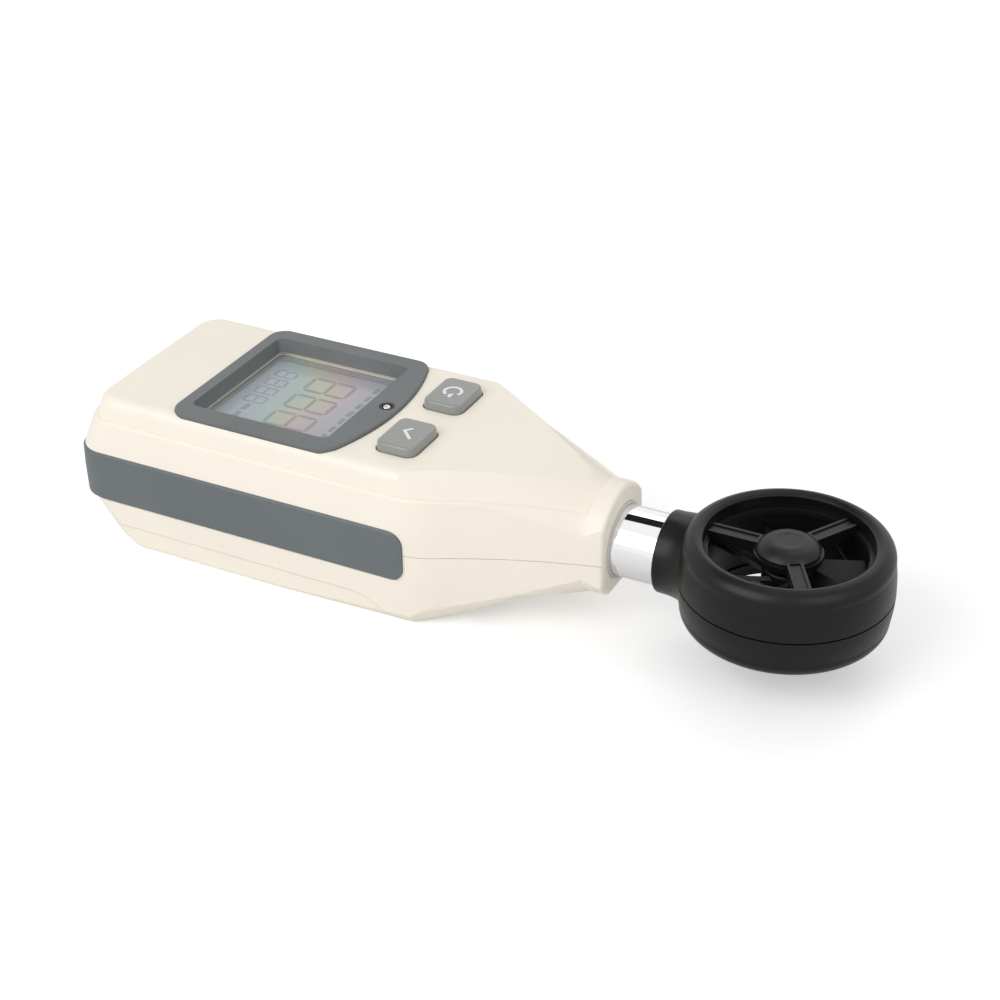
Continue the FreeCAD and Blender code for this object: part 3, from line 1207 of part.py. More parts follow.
def head_form():
    """Ring with its collar, before the duct is cut."""
    side_radius = HEAD_RADIUS - HEAD_BULGE
    bulge_radius = side_radius + HEAD_BULGE * HEAD_BULGE_SHARE
    lip_middle = V(HEAD_X + (RIM_RADIUS + LIP_RADIUS) / 2, 0, HEAD_TOP_Z - (HEAD_TOP_Z - LIP_Z) / 4)

    def corner(from_radius, from_z, to_radius, to_z):
        """Quarter-round step between two points of the ring's section."""
        inner, outer = sorted((from_radius, to_radius))
        near, far = sorted((from_z, to_z), key=abs)
        share = math.sqrt(0.5)
        via = V(HEAD_X + inner + (outer - inner) * share, 0, near + (far - near) * share)
        return via, V(HEAD_X + to_radius, 0, to_z)

    profile = path(
        V(HEAD_X, 0, HEAD_BOTTOM_Z), (V(HEAD_X + FOOT_RADIUS, 0, HEAD_BOTTOM_Z),),
        corner(FOOT_RADIUS, HEAD_BOTTOM_Z, side_radius, HEAD_BOTTOM_Z + RIM_ROUND),
        (V(HEAD_X + bulge_radius, 0, HEAD_BOTTOM_Z / 3), V(HEAD_X + HEAD_RADIUS, 0, 0)),
        (V(HEAD_X + bulge_radius, 0, HEAD_TOP_Z / 3), V(HEAD_X + side_radius, 0, HEAD_TOP_Z - RIM_ROUND)),
        corner(side_radius, HEAD_TOP_Z - RIM_ROUND, RIM_RADIUS, HEAD_TOP_Z),
        (lip_middle, V(HEAD_X + LIP_RADIUS, 0, LIP_Z)),
        (V(HEAD_X, 0, LIP_Z),), (V(HEAD_X, 0, HEAD_BOTTOM_Z),))
    ring = Part.Face(profile).revolve(V(HEAD_X, 0, 0), Z_AXIS, 360)
    return fused([ring, head_collar()])


def head_screw_places():
    """Screw stations round the ring."""
    return [
        (HEAD_X + HEAD_SCREW_CIRCLE * math.cos(math.radians(angle)),
         HEAD_SCREW_CIRCLE * math.sin(math.radians(angle))) for angle in HEAD_SCREW_ANGLES]


def head_half(upper):
    """One half of the head: ring wall, duct wall, collar half and screw bosses."""
    side = 1 if upper else -1
    half_space = box(-FAR, FAR, -FAR, FAR, 0 if upper else -FAR, FAR if upper else 0)
    form = head_form().common(half_space)
    crest = (HEAD_TOP_Z if upper else -HEAD_BOTTOM_Z) - HEAD_WALL * 1.5
    seat = LIP_RADIUS + SEAT_GAP
    inner, outer = DUCT_RADIUS + HEAD_WALL, HEAD_RADIUS - HEAD_WALL
    hollow = about_head([
        (inner, -OVER * side), (outer, -OVER * side), (outer, HEAD_WALL / 3 * side),
        (outer - HEAD_WALL / 2, crest * HOLLOW_BEND_SHARE * side), (inner + HEAD_WALL / 3, crest * side),
        (inner, crest * side)])
    root_z = side * (crest + HEAD_WALL / 8)
    bosses = [
        post(x, y, min(0, root_z), max(0, root_z), HEAD_BOSS_RADIUS) for x, y in head_screw_places()]
    tube_end_x = HEAD_COLLAR_X + TUBE_IN_HEAD
    tube_room = rod(HEAD_COLLAR_X - OVER, tube_end_x + SEAT_GAP, TUBE_RADIUS + SCREW_GAP)
    duct = about_head([
        (0, -FAR), (seat, -FAR), (seat, -SEAT_Z), (DUCT_RADIUS, -SEAT_Z),
        (DUCT_RADIUS, SEAT_Z), (seat, SEAT_Z), (seat, FAR), (0, FAR)])
    shell = fused([form.cut(hollow)] + bosses).cut([tube_room, duct])
    cuts = [lead_room()] if upper else [lead_room(), head_seam_groove()]
    for x, y in head_screw_places():
        cuts.append(post(x, y, -FAR, HEAD_SCREW_SEAT_Z, HEAD_SCREW_HEAD + SEAT_GAP))
        reach = HEAD_SCREW_SEAT_Z + HEAD_SCREW_LENGTH + SCREW_TIP_ROOM
        radius = HEAD_SCREW_RADIUS + (SCREW_GAP if upper else SEAT_GAP)
        cuts.append(post(x, y, HEAD_SCREW_SEAT_Z - OVER, reach, radius))
    return shell.cut(cuts)


def head_seam_groove():
    """Fine groove round the outside of the head where its two shells meet."""
    outer = HEAD_RADIUS + OVER
    collar = HEAD_COLLAR_RADIUS - HEAD_SEAM_DEPTH
    slab = box(HEAD_COLLAR_X - OVER, HEAD_X + outer, -outer, outer, -SEAM_GROOVE, 0)
    core = post(HEAD_X, 0, -OVER, OVER, HEAD_RADIUS - HEAD_SEAM_DEPTH)
    return slab.cut([core, box(-FAR, HEAD_X, -collar, collar, -OVER, OVER)])


def head_screws():
    """Screws that close the two head shells from below."""
    return group([
        screw(x, y, HEAD_SCREW_SEAT_Z, HEAD_SCREW_HEAD, HEAD_SCREW_HEAD_HEIGHT, HEAD_SCREW_RADIUS,
              HEAD_SCREW_LENGTH)
        for x, y in head_screw_places()])


# ---- Spiders and rotor -------------------------------------------------------------------
def flipped(shape):
    """The same shape turned over to the other face of the duct."""
    return shape.mirror(V(0, 0, 0), Z_AXIS)


def spider_arm(angle):
    """Radial arm with a raised ridge along each edge."""
    reach = LIP_RADIUS - SPIDER_RING_WIDTH / 2
    half = ARM_WIDTH / 2
    arm = box(0, reach, -half, half, SEAT_Z, SEAT_Z + ARM_HEIGHT)
    groove = box(HUB_RADIUS, reach + OVER, -half + ARM_RIDGE, half - ARM_RIDGE,
                 SEAT_Z + ARM_HEIGHT - ARM_GROOVE, SEAT_Z + ARM_HEIGHT + OVER)
    arm = arm.cut(groove)
    arm.rotate(V(0, 0, 0), Z_AXIS, angle)
    arm.translate(V(HEAD_X, 0, 0))
    return arm


def spider_form(hub_top):
    """Hub dome, three arms and the thin ring that sits on the duct's ledge."""
    ridge_z = SEAT_Z + ARM_HEIGHT - HUB_RIDGE
    rise = hub_top - ridge_z
    profile = path(
        V(HEAD_X, 0, SEAT_Z), (V(HEAD_X + HUB_RADIUS + HUB_RIDGE, 0, SEAT_Z),),
        (V(HEAD_X + HUB_RADIUS + HUB_RIDGE, 0, SEAT_Z + HUB_RIDGE_HEIGHT),),
        (V(HEAD_X + HUB_RADIUS, 0, SEAT_Z + HUB_RIDGE_HEIGHT),), (V(HEAD_X + HUB_RADIUS, 0, ridge_z),),
        (V(HEAD_X + HUB_CURVE_RADIUS, 0, ridge_z + rise * HUB_CURVE_SHARE),
         V(HEAD_X + HUB_FLAT_RADIUS, 0, hub_top)),
        (V(HEAD_X, 0, hub_top),), (V(HEAD_X, 0, SEAT_Z),))
    hub = Part.Face(profile).revolve(V(HEAD_X, 0, 0), Z_AXIS, 360)
    inner, top = LIP_RADIUS - SPIDER_RING_WIDTH, SEAT_Z + SPIDER_RING_HEIGHT
    ring = about_head([(inner, SEAT_Z), (LIP_RADIUS, SEAT_Z), (LIP_RADIUS, top), (inner, top)])
    return fused([hub, ring] + [spider_arm(angle) for angle in ARM_ANGLES])


def bearing_place():
    """Upper bearing's body: a cup set in the face of the hub."""
    low = SEAT_Z - BEARING_SINK
    return post(HEAD_X, 0, low, low + BEARING_LENGTH, BEARING_RADIUS)


def shaft_room():
    """Blind hole round the shaft's end."""
    return post(HEAD_X, 0, 0, SHAFT_END_Z + SEAT_GAP, SHAFT_RADIUS + RUN_GAP)


def upper_bearing():
    """Jewel cup for the top of the shaft."""
    return bearing_place().cut(shaft_room())


def upper_spider():
    """Front spider over the impeller."""
    return spider_form(HUB_TOP_Z).cut([bearing_place(), shaft_room()])


def lower_spider():
    """Back spider under the impeller, with seats for the bearing, the sensor and its lead."""
    form = flipped(spider_form(-HEAD_BOTTOM_Z))
    seats = [flipped(bearing_place()), flipped(shaft_room()), sensor_chip_block(SEAT_GAP), lead_room()]
    return form.cut(seats)


def lower_bearing():
    """Jewel cup for the bottom of the shaft."""
    return flipped(upper_bearing())


def sensor_chip_block(grow):
    """Magnetic pick-up beside the lower bearing, under the magnet's path."""
    x = HEAD_X - SENSOR_CHIP_OFFSET
    half = SENSOR_CHIP_HALF + grow
    top = -SEAT_Z + SENSOR_CHIP_SINK + grow
    return box(x - half, x + half, -half, half, top - SENSOR_CHIP_HEIGHT - 2 * grow, top)


def hall_sensor():
    """Magnetic pick-up that counts the impeller's turns."""
    return sensor_chip_block(0.0)


def impeller():
    """Hub with pitched paddles, bored for the shaft and the magnet."""
    hub = post(HEAD_X, 0, -ROTOR_HALF_HEIGHT, ROTOR_HALF_HEIGHT, ROTOR_HUB_RADIUS)
    hub = hub.makeFillet(ROTOR_EDGE, edges_where(hub, at_height(ROTOR_HALF_HEIGHT)))
    tip = DUCT_RADIUS - BLADE_TIP_GAP
    room = post(HEAD_X, 0, -ROTOR_HALF_HEIGHT, ROTOR_HALF_HEIGHT, tip)
    blades = []
    for index in range(BLADE_COUNT):
        blade = box(ROTOR_HUB_RADIUS * BLADE_ROOT_SHARE, tip + OVER, -BLADE_CHORD / 2, BLADE_CHORD / 2,
                    -BLADE_THICKNESS / 2, BLADE_THICKNESS / 2)
        blade.rotate(V(0, 0, 0), X_AXIS, BLADE_PITCH)
        blade.rotate(V(0, 0, 0), Z_AXIS, (index + 0.5) * 360 / BLADE_COUNT)
        blade.translate(V(HEAD_X, 0, 0))
        blades.append(blade.common(room))
    rotor = fused([hub] + blades)
    magnet_seat = post(HEAD_X, 0, -FAR, -ROTOR_HALF_HEIGHT + MAGNET_HEIGHT, MAGNET_RADIUS + SCREW_GAP)
    return rotor.cut([post(HEAD_X, 0, -FAR, FAR, SHAFT_RADIUS + SCREW_GAP), magnet_seat])


def rotor_magnet():
    """Ring magnet in the underside of the impeller's hub."""
    low_z = -ROTOR_HALF_HEIGHT
    ring = post(HEAD_X, 0, low_z, low_z + MAGNET_HEIGHT, MAGNET_RADIUS)
    return ring.cut(post(HEAD_X, 0, -FAR, FAR, MAGNET_BORE))


def rotor_shaft():
    """Steel spindle between the two bearings."""
    return post(HEAD_X, 0, -SHAFT_END_Z, SHAFT_END_Z, SHAFT_RADIUS)


# ---- Sensor lead -------------------------------------------------------------------------
def tangent_run(points):
    """Wire of straight runs joined by tangent arcs as large as the runs allow."""
    steps = []
    here = points[0]
    for before, corner, after in zip(points, points[1:], points[2:]):
        back = (before - corner).normalize()
        ahead = (after - corner).normalize()
        turn = math.pi - back.getAngle(ahead)
        trim = LEAD_BEND_SHARE * min((before - corner).Length, (after - corner).Length)
        radius = trim / math.tan(turn / 2)
        start, end = corner + back * trim, corner + ahead * trim
        inward = (back + ahead).normalize()
        via = corner + inward * (radius / math.cos(turn / 2) - radius)
        steps += [(start,), (via, end)]
        here = end
    return path(points[0], *steps, (points[-1],))


def swept(points, radius):
    """Round cable along a tangent run."""
    spine = tangent_run(points)
    first = (points[1] - points[0]).normalize()
    section = Part.Wire([Part.makeCircle(radius, points[0], first)])
    return spine.makePipeShell([section], True, True)


def head_lead_points():
    """Route from the pick-up, along the arm, through the duct wall and down the tube."""
    chip_x = HEAD_X - SENSOR_CHIP_OFFSET - SENSOR_CHIP_HALF
    return [
        V(chip_x - RUN_GAP, 0, LEAD_ARM_Z), V(HEAD_X - LIP_RADIUS + LEAD_ARM_END, 0, LEAD_ARM_Z),
        V(HEAD_COLLAR_X - LEAD_COLLAR_RUN, 0, 0), V(FLANGE_X, 0, 0)]


def head_lead():
    """Lead from the pick-up to the tube's inner end; it turns with the head."""
    return swept(head_lead_points(), LEAD_RADIUS)


def lead_room():
    """Groove and hole for the lead through the arm and the duct wall."""
    return swept(head_lead_points(), LEAD_RADIUS + LEAD_ROOM)


def case_lead():
    """Lead from the tube's inner end to the connector under the board."""
    end = V(CONNECTOR_X + CONNECTOR_LENGTH, 0, BOARD_Z - CONNECTOR_HEIGHT / 2)
    return swept([
        V(FLANGE_X - RUN_GAP, 0, 0), V(FLANGE_X - LEAD_TUBE_RUN, 0, 0), V(end.x + LEAD_END_RUN, 0, end.z),
        end], LEAD_RADIUS)


# ---- All pieces --------------------------------------------------------------------------
def pieces():
    """Every piece by the name of its node."""
    parts = {
        "front_case": front_case(),
        "rear_case": rear_case(),
        "battery_door": battery_door(),
        "side_bumper": side_bumper(),
        "display_bezel": display_bezel(),
        "display_window": display_window(),
        "lcd_module": lcd_module(),
        "zebra_strips": zebra_strips(),
        "temperature_sensor": temperature_sensor(),
        "sensor_grommet": sensor_grommet(),
        "mode_key": key_cap(1),
        "set_key": key_cap(-1),
        "mode_pill": key_pill(1),
        "set_pill": key_pill(-1),
        "keypad_mat": keypad_mat(),
        "main_board": main_board(),
        "microcontroller": chip(CONTROLLER_X, CONTROLLER_Y, CONTROLLER_HALF, CONTROLLER_HEIGHT),
        "pressure_sensor": chip(PRESSURE_X, PRESSURE_Y, PRESSURE_HALF, PRESSURE_HEIGHT),
        "piezo_buzzer": piezo_buzzer(),
        "lead_connector": lead_connector(),
        "board_screws": board_screws(),
        "case_screws": case_screws(),
        "battery_springs": battery_springs(),
        "base_contacts": contact_plates(BAY_START_X, -CELL_PITCH, (0.0, CELL_PITCH)),
        "front_contacts": contact_plates(BAY_END_X, CELL_PITCH, (-CELL_PITCH, 0.0)),
        "neck_bush": neck_bush(),
        "neck_tube": neck_tube(),
        "retaining_flange": retaining_flange(),
        "friction_ring": friction_washer(),
        "head_upper_shell": head_half(True),
        "head_lower_shell": head_half(False),
        "head_screws": head_screws(),
        "upper_spider": upper_spider(),
        "lower_spider": lower_spider(),
        "upper_bearing": upper_bearing(),
        "lower_bearing": lower_bearing(),
        "hall_sensor": hall_sensor(),
        "impeller": impeller(),
        "rotor_shaft": rotor_shaft(),
        "rotor_magnet": rotor_magnet(),
        "head_lead": head_lead(),
        "case_lead": case_lead(),
    }
    for index, (y, way) in enumerate(cell_places()):
        parts[f"battery_cell_{index + 1}"] = battery_cell(y, way)
    return parts


def main():
    """Build every piece and write it in the object's own frame."""
    os.makedirs("parts", exist_ok=True)
    for name, shape in pieces().items():
        moved = shape.copy()
        moved.translate(V(-MIDDLE_X, 0, AXIS_HEIGHT))
        moved.exportStep(f"parts/{name}.step")
        print(f"{name}: {len(moved.Solids)} solids, {moved.Volume:.1f} mm3")


main()
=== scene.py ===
"""Looks of a handheld weather meter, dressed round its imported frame.

The frame gives every piece its place. This file gives each one its finish, rebuilds the moulded
shells with smooth surfaces, adds the screen's segments and the signs on the keys, and sets a
plain pale studio round the object. All lengths are metres in the frame's own axes: X runs from
the base end to the vane head, Y across and Z up.
"""

from __future__ import annotations

import json
import logging
import math
from dataclasses import dataclass, field
from enum import Enum

import bmesh
import bpy
from mathutils import Matrix, Vector

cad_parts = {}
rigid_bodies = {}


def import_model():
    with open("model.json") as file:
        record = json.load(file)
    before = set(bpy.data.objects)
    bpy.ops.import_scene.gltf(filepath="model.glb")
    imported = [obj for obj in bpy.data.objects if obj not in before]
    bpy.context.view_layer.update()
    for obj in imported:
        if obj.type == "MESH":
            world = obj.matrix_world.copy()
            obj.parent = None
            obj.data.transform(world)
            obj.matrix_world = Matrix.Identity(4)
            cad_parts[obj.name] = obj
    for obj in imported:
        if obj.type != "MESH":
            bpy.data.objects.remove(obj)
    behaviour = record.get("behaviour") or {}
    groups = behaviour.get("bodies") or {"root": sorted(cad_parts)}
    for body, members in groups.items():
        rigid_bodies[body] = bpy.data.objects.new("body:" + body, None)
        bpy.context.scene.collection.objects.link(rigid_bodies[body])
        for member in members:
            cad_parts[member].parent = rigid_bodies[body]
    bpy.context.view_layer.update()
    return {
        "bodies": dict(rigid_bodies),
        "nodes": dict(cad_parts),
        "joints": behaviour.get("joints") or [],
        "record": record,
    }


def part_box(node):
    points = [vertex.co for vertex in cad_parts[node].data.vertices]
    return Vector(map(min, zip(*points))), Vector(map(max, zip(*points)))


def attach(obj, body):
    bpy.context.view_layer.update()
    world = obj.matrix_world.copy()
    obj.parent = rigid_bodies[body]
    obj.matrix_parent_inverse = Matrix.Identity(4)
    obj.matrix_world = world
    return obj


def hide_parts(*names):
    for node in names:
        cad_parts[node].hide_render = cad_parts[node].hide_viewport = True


LOG = logging.getLogger("weather_meter")

Colour = tuple[float, float, float]
Place = tuple[float, float, float]


class Body(Enum):
    """Moving bodies of the frame."""

    HANDSET = "handset"
    MODE = "mode_button"
    SET = "set_button"
    DOOR = "door"
    HEAD = "head"
    ROTOR = "rotor"


# ---- Materials ---------------------------------------------------------------------------
class Graph:
    """Short way to build a node material.

    Args:
        name: The material's name.
    """

    def __init__(self, name: str) -> None:
        """Start an empty material with an output and a principled shader."""
        self.material = bpy.data.materials.new(name)
        self.material.use_nodes = True
        self.tree = self.material.node_tree
        self.tree.nodes.clear()
        self.output = self.tree.nodes.new("ShaderNodeOutputMaterial")
        self.shader = self.tree.nodes.new("ShaderNodeBsdfPrincipled")
        self.link(self.shader.outputs["BSDF"], self.output.inputs["Surface"])
        self.place = self.tree.nodes.new("ShaderNodeTexCoord").outputs["Object"]

    def link(self, start: bpy.types.NodeSocket, end: bpy.types.NodeSocket) -> None:
        """Join two sockets."""
        self.tree.links.new(start, end)

    def node(self, kind: str, **values: object) -> bpy.types.Node:
        """Add a node.

        Args:
            kind: The node's type name without its ShaderNode prefix.
            values: Attributes of the node, or input values where no attribute has that name.

        Returns:
            The new node.
        """
        made = self.tree.nodes.new("ShaderNode" + kind)
        for key, value in values.items():
            if hasattr(made, key):
                setattr(made, key, value)
            else:
                made.inputs[key].default_value = value
        return made

    def noise(
            self, scale: float, detail: float = 2.0,
            roughness: float = 0.5) -> bpy.types.NodeSocket:
        """Noise over the object's own coordinates.

        Args:
            scale: Cycles per metre.
            detail: Octaves.
            roughness: Share kept from octave to octave.

        Returns:
            The socket with the noise value.
        """
        made = self.node("TexNoise", Scale=scale, Detail=detail, Roughness=roughness)
        self.link(self.place, made.inputs["Vector"])
        return made.outputs["Fac"]

    def ramp(
            self, value: bpy.types.NodeSocket,
            stops: list[tuple[float, Colour]]) -> bpy.types.NodeSocket:
        """Colour ramp over a value.

        Args:
            value: Socket that drives the ramp.
            stops: Place and colour of each stop.

        Returns:
            The socket with the colour.
        """
        made = self.node("ValToRGB")
        elements = made.color_ramp.elements
        while len(elements) < len(stops):
            elements.new(0.5)
        for element, (place, colour) in zip(elements, stops):
            element.position = place
            element.color = (*colour, 1.0)
        self.link(value, made.inputs["Fac"])
        return made.outputs["Color"]

    def spread(
            self, value: bpy.types.NodeSocket, low: float, high: float) -> bpy.types.NodeSocket:
        """Map a value from 0..1 to low..high."""
        made = self.node("MapRange")
        made.inputs["To Min"].default_value = low
        made.inputs["To Max"].default_value = high
        self.link(value, made.inputs["Value"])
        return made.outputs["Result"]

    def bump(self, height: bpy.types.NodeSocket, distance: float, strength: float = 1.0) -> None:
        """Add a bump to the shader's normal.

        Args:
            height: Socket with the height from 0 to 1.
            distance: Height in metres.
            strength: Share of the effect.
        """
        made = self.node("Bump", Distance=distance, Strength=strength)
        self.link(height, made.inputs["Height"])
        normal = self.shader.inputs["Normal"]
        if normal.is_linked:
            self.link(normal.links[0].from_socket, made.inputs["Normal"])
        self.link(made.outputs["Normal"], normal)


@dataclass(frozen=True)
class Moulded:
    """Moulded plastic or rubber with a fine spark-eroded grain.

    Its colour swings by the share `shade`, at the scale `ripple`, with the faint waviness of a
    moulded wall. Scales are cycles per metre.
    """

    CLOUD_SPAN = (0.3, 0.7)
    GRAIN_STRENGTH = 0.6
    RIPPLE_DEPTH = 0.00004
    RIPPLE_STRENGTH = 0.15
    SOFT_DEPTH = 0.001
    SOFT_TINT = (1.0, 0.8, 0.6)
    COAT_ROUGH = 0.12

    name: str
    colour: Colour
    shade: float = 0.04
    rough: float = 0.45
    rough_swing: float = 0.06
    grain: float = 5200.0
    grain_depth: float = 0.00002
    ripple: float = 60.0
    specular: float = 0.5
    soft: float = 0.0
    coat: float = 0.0
    alpha: float = 1.0

    def build(self) -> bpy.types.Material:
        """Make the material.

        Returns:
            The material.
        """
        graph = Graph(self.name)
        shader = graph.shader
        light = tuple(min(1.0, part * (1 + self.shade)) for part in self.colour)
        dark = tuple(part * (1 - self.shade) for part in self.colour)
        cloud = graph.noise(self.ripple, 3.0)
        stops = list(zip(self.CLOUD_SPAN, (dark, light)))
        graph.link(graph.ramp(cloud, stops), shader.inputs["Base Color"])
        grain = graph.noise(self.grain, 2.0, 0.6)
        low, high = self.rough - self.rough_swing, self.rough + self.rough_swing
        graph.link(graph.spread(grain, low, high), shader.inputs["Roughness"])
        graph.bump(grain, self.grain_depth, self.GRAIN_STRENGTH)
        graph.bump(cloud, self.RIPPLE_DEPTH, self.RIPPLE_STRENGTH)
        shader.inputs["Specular IOR Level"].default_value = self.specular
        shader.inputs["Alpha"].default_value = self.alpha
        if self.soft:
            shader.inputs["Subsurface Weight"].default_value = self.soft
            shader.inputs["Subsurface Scale"].default_value = self.SOFT_DEPTH
            shader.inputs["Subsurface Radius"].default_value = self.SOFT_TINT
        if self.coat:
            shader.inputs["Coat Weight"].default_value = self.coat
            shader.inputs["Coat Roughness"].default_value = self.COAT_ROUGH
        return graph.material


@dataclass(frozen=True)
class Metal:
    """Metal with faint marks along its length."""

    MARK_SPAN = (0.35, 0.65)
    MARK_SHADE = 0.92
    LEAST_ROUGH = 0.01

    name: str
    colour: Colour
    rough: float = 0.2
    marks: float = 0.03
    mark_scale: float = 900.0
    stretch: tuple[float, float, float] = (0.05, 1.0, 1.0)

    def build(self) -> bpy.types.Material:
        """Make the material.

        Returns:
            The material.
        """
        graph = Graph(self.name)
        shader = graph.shader
        shader.inputs["Metallic"].default_value = 1.0
        turn = graph.node("Mapping")
        turn.inputs["Scale"].default_value = self.stretch
        graph.link(graph.place, turn.inputs["Vector"])
        graph.place = turn.outputs["Vector"]
        marks = graph.noise(self.mark_scale, 4.0, 0.6)
        dark = tuple(part * self.MARK_SHADE for part in self.colour)
        stops = list(zip(self.MARK_SPAN, (dark, self.colour)))
        graph.link(graph.ramp(marks, stops), shader.inputs["Base Color"])
        low, high = max(self.LEAST_ROUGH, self.rough - self.marks), self.rough + self.marks
        graph.link(graph.spread(marks, low, high), shader.inputs["Roughness"])
        return graph.material


@dataclass(frozen=True)
class Clear:
    """Clear moulded window of which only the outer surface mirrors."""

    name: str
    rough: float = 0.03
    index: float = 1.45
    haze: float = 180.0

    def build(self) -> bpy.types.Material:
        """Make the material.

        Returns:
            The material.
        """
        graph = Graph(self.name)
        through = graph.node("BsdfTransparent")
        gloss = graph.node("BsdfGlossy")
        haze = graph.noise(self.haze)
        graph.link(graph.spread(haze, self.rough, self.rough * 2), gloss.inputs["Roughness"])
        share = graph.node("Fresnel", IOR=self.index)
        front = graph.node("MapRange")
        front.inputs["To Min"].default_value = 1.0
        front.inputs["To Max"].default_value = 0.0
        graph.link(graph.node("NewGeometry").outputs["Backfacing"], front.inputs["Value"])
        outer = graph.node("Math", operation="MULTIPLY")
        graph.link(share.outputs["Fac"], outer.inputs[0])
        graph.link(front.outputs["Result"], outer.inputs[1])
        mixed = graph.node("MixShader")
        graph.link(outer.outputs["Value"], mixed.inputs["Fac"])
        graph.link(through.outputs["BSDF"], mixed.inputs[1])
        graph.link(gloss.outputs["BSDF"], mixed.inputs[2])
        graph.link(mixed.outputs["Shader"], graph.output.inputs["Surface"])
        return graph.material


@dataclass(frozen=True)
class Polariser:
    """Grey screen face with the faint coloured bands of stressed film."""

    SWIRL = 1.6
    COAT = 0.3
    MATT_SCALE = 3000.0
    MATT_DEPTH = 0.000004
    MATT_STRENGTH = 0.3

    name: str
    bands: float = 30.0
    bend: float = 26.0
    rough: float = 0.22
    tints: tuple[Colour, ...] = (
        (0.33, 0.355, 0.36), (0.31, 0.355, 0.41), (0.315, 0.41, 0.375), (0.40, 0.43, 0.32),
        (0.45, 0.37, 0.345), (0.385, 0.34, 0.40), (0.325, 0.365, 0.40), (0.33, 0.355, 0.36))

    def build(self) -> bpy.types.Material:
        """Make the material.

        Returns:
            The material.
        """
        graph = Graph(self.name)
        place = graph.node("SeparateXYZ")
        graph.link(graph.place, place.inputs["Vector"])
        along = graph.node("Math", operation="MULTIPLY")
        along.inputs[1].default_value = self.bands
        graph.link(place.outputs["X"], along.inputs[0])
        across = graph.node("Math", operation="MULTIPLY")
        across.inputs[1].default_value = self.bands / 2
        graph.link(place.outputs["Y"], across.inputs[0])
        slope = graph.node("Math", operation="ADD")
        graph.link(along.outputs["Value"], slope.inputs[0])
        graph.link(across.outputs["Value"], slope.inputs[1])
        swirl = graph.node("Math", operation="MULTIPLY_ADD")
        graph.link(graph.noise(self.bend, 1.0), swirl.inputs[0])
        swirl.inputs[1].default_value = self.SWIRL
        graph.link(slope.outputs["Value"], swirl.inputs[2])
        phase = graph.node("Math", operation="FRACT")
        graph.link(swirl.outputs["Value"], phase.inputs[0])
        count = len(self.tints) - 1
        stops = [(index / count, tint) for index, tint in enumerate(self.tints)]
        graph.link(graph.ramp(phase.outputs["Value"], stops), graph.shader.inputs["Base Color"])
        graph.shader.inputs["Roughness"].default_value = self.rough
        graph.shader.inputs["Coat Weight"].default_value = self.COAT
        graph.bump(graph.noise(self.MATT_SCALE, 1.0), self.MATT_DEPTH, self.MATT_STRENGTH)
        return graph.material


@dataclass(frozen=True)
class Jacket:
    """Cell with a plain sleeve between two bare steel ends.

    A pale ring runs round the sleeve near each end. `low` and `high` are the ends of the cell.
    """

    STEEL = (0.6, 0.6, 0.6)
    RING_END = 1.4
    MARK_SCALE = 900.0
    ROUGH = (0.2, 0.3)

    name: str
    low: float
    high: float
    sleeve: Colour = (0.02, 0.075, 0.16)
    ring: Colour = (0.55, 0.56, 0.58)
    bare: float = 0.0011
    band: float = 0.0022

    def build(self) -> bpy.types.Material:
        """Make the material.

        Returns:
            The material.
        """
        graph = Graph(self.name)
        place = graph.node("SeparateXYZ")
        graph.link(graph.place, place.inputs["Vector"])
        share = graph.node("MapRange")
        share.inputs["From Min"].default_value = self.low
        share.inputs["From Max"].default_value = self.high
        graph.link(place.outputs["X"], share.inputs["Value"])
        length = self.high - self.low
        edge, stripe = self.bare / length, self.band / length
        ring = edge + self.RING_END * stripe
        stops = [
            (0.0, self.STEEL), (edge, self.sleeve), (edge + stripe, self.ring),
            (ring, self.sleeve), (1 - ring, self.ring),
            (1 - edge - stripe, self.sleeve), (1 - edge, self.STEEL)]
        colour = graph.ramp(share.outputs["Result"], stops)
        colour.node.color_ramp.interpolation = "CONSTANT"
        graph.link(colour, graph.shader.inputs["Base Color"])
        metal = graph.ramp(share.outputs["Result"], [
            (0.0, (1.0, 1.0, 1.0)), (edge, (0.0, 0.0, 0.0)), (1 - edge, (1.0, 1.0, 1.0))])
        metal.node.color_ramp.interpolation = "CONSTANT"
        graph.link(metal, graph.shader.inputs["Metallic"])
        marks = graph.spread(graph.noise(self.MARK_SCALE, 3.0), *self.ROUGH)
        graph.link(marks, graph.shader.inputs["Roughness"])
        return graph.material


@dataclass(frozen=True)
class Laminate:
    """Green circuit board with copper tracks under its resist."""

    TRACK_HALF = 0.1
    TRACK_EDGE = 0.14
    GLOSS_SCALE = 2600.0
    ROUGH = (0.2, 0.34)
    COAT = 0.5
    TRACK_HEIGHT = 0.00002
    TRACK_STRENGTH = 0.5

    name: str
    resist: Colour = (0.008, 0.11, 0.04)
    track: Colour = (0.02, 0.19, 0.07)
    pitch: float = 420.0

    def build(self) -> bpy.types.Material:
        """Make the material.

        Returns:
            The material.
        """
        graph = Graph(self.name)
        cells = graph.node(
            "TexVoronoi", distance="MANHATTAN", feature="DISTANCE_TO_EDGE", Scale=self.pitch)
        graph.link(graph.place, cells.inputs["Vector"])
        lines = cells.outputs["Distance"]
        stops = [(0.0, self.track), (self.TRACK_HALF, self.track), (self.TRACK_EDGE, self.resist)]
        graph.link(graph.ramp(lines, stops), graph.shader.inputs["Base Color"])
        gloss = graph.spread(graph.noise(self.GLOSS_SCALE), *self.ROUGH)
        graph.link(gloss, graph.shader.inputs["Roughness"])
        graph.shader.inputs["Coat Weight"].default_value = self.COAT
        graph.bump(lines, self.TRACK_HEIGHT, self.TRACK_STRENGTH)
        return graph.material


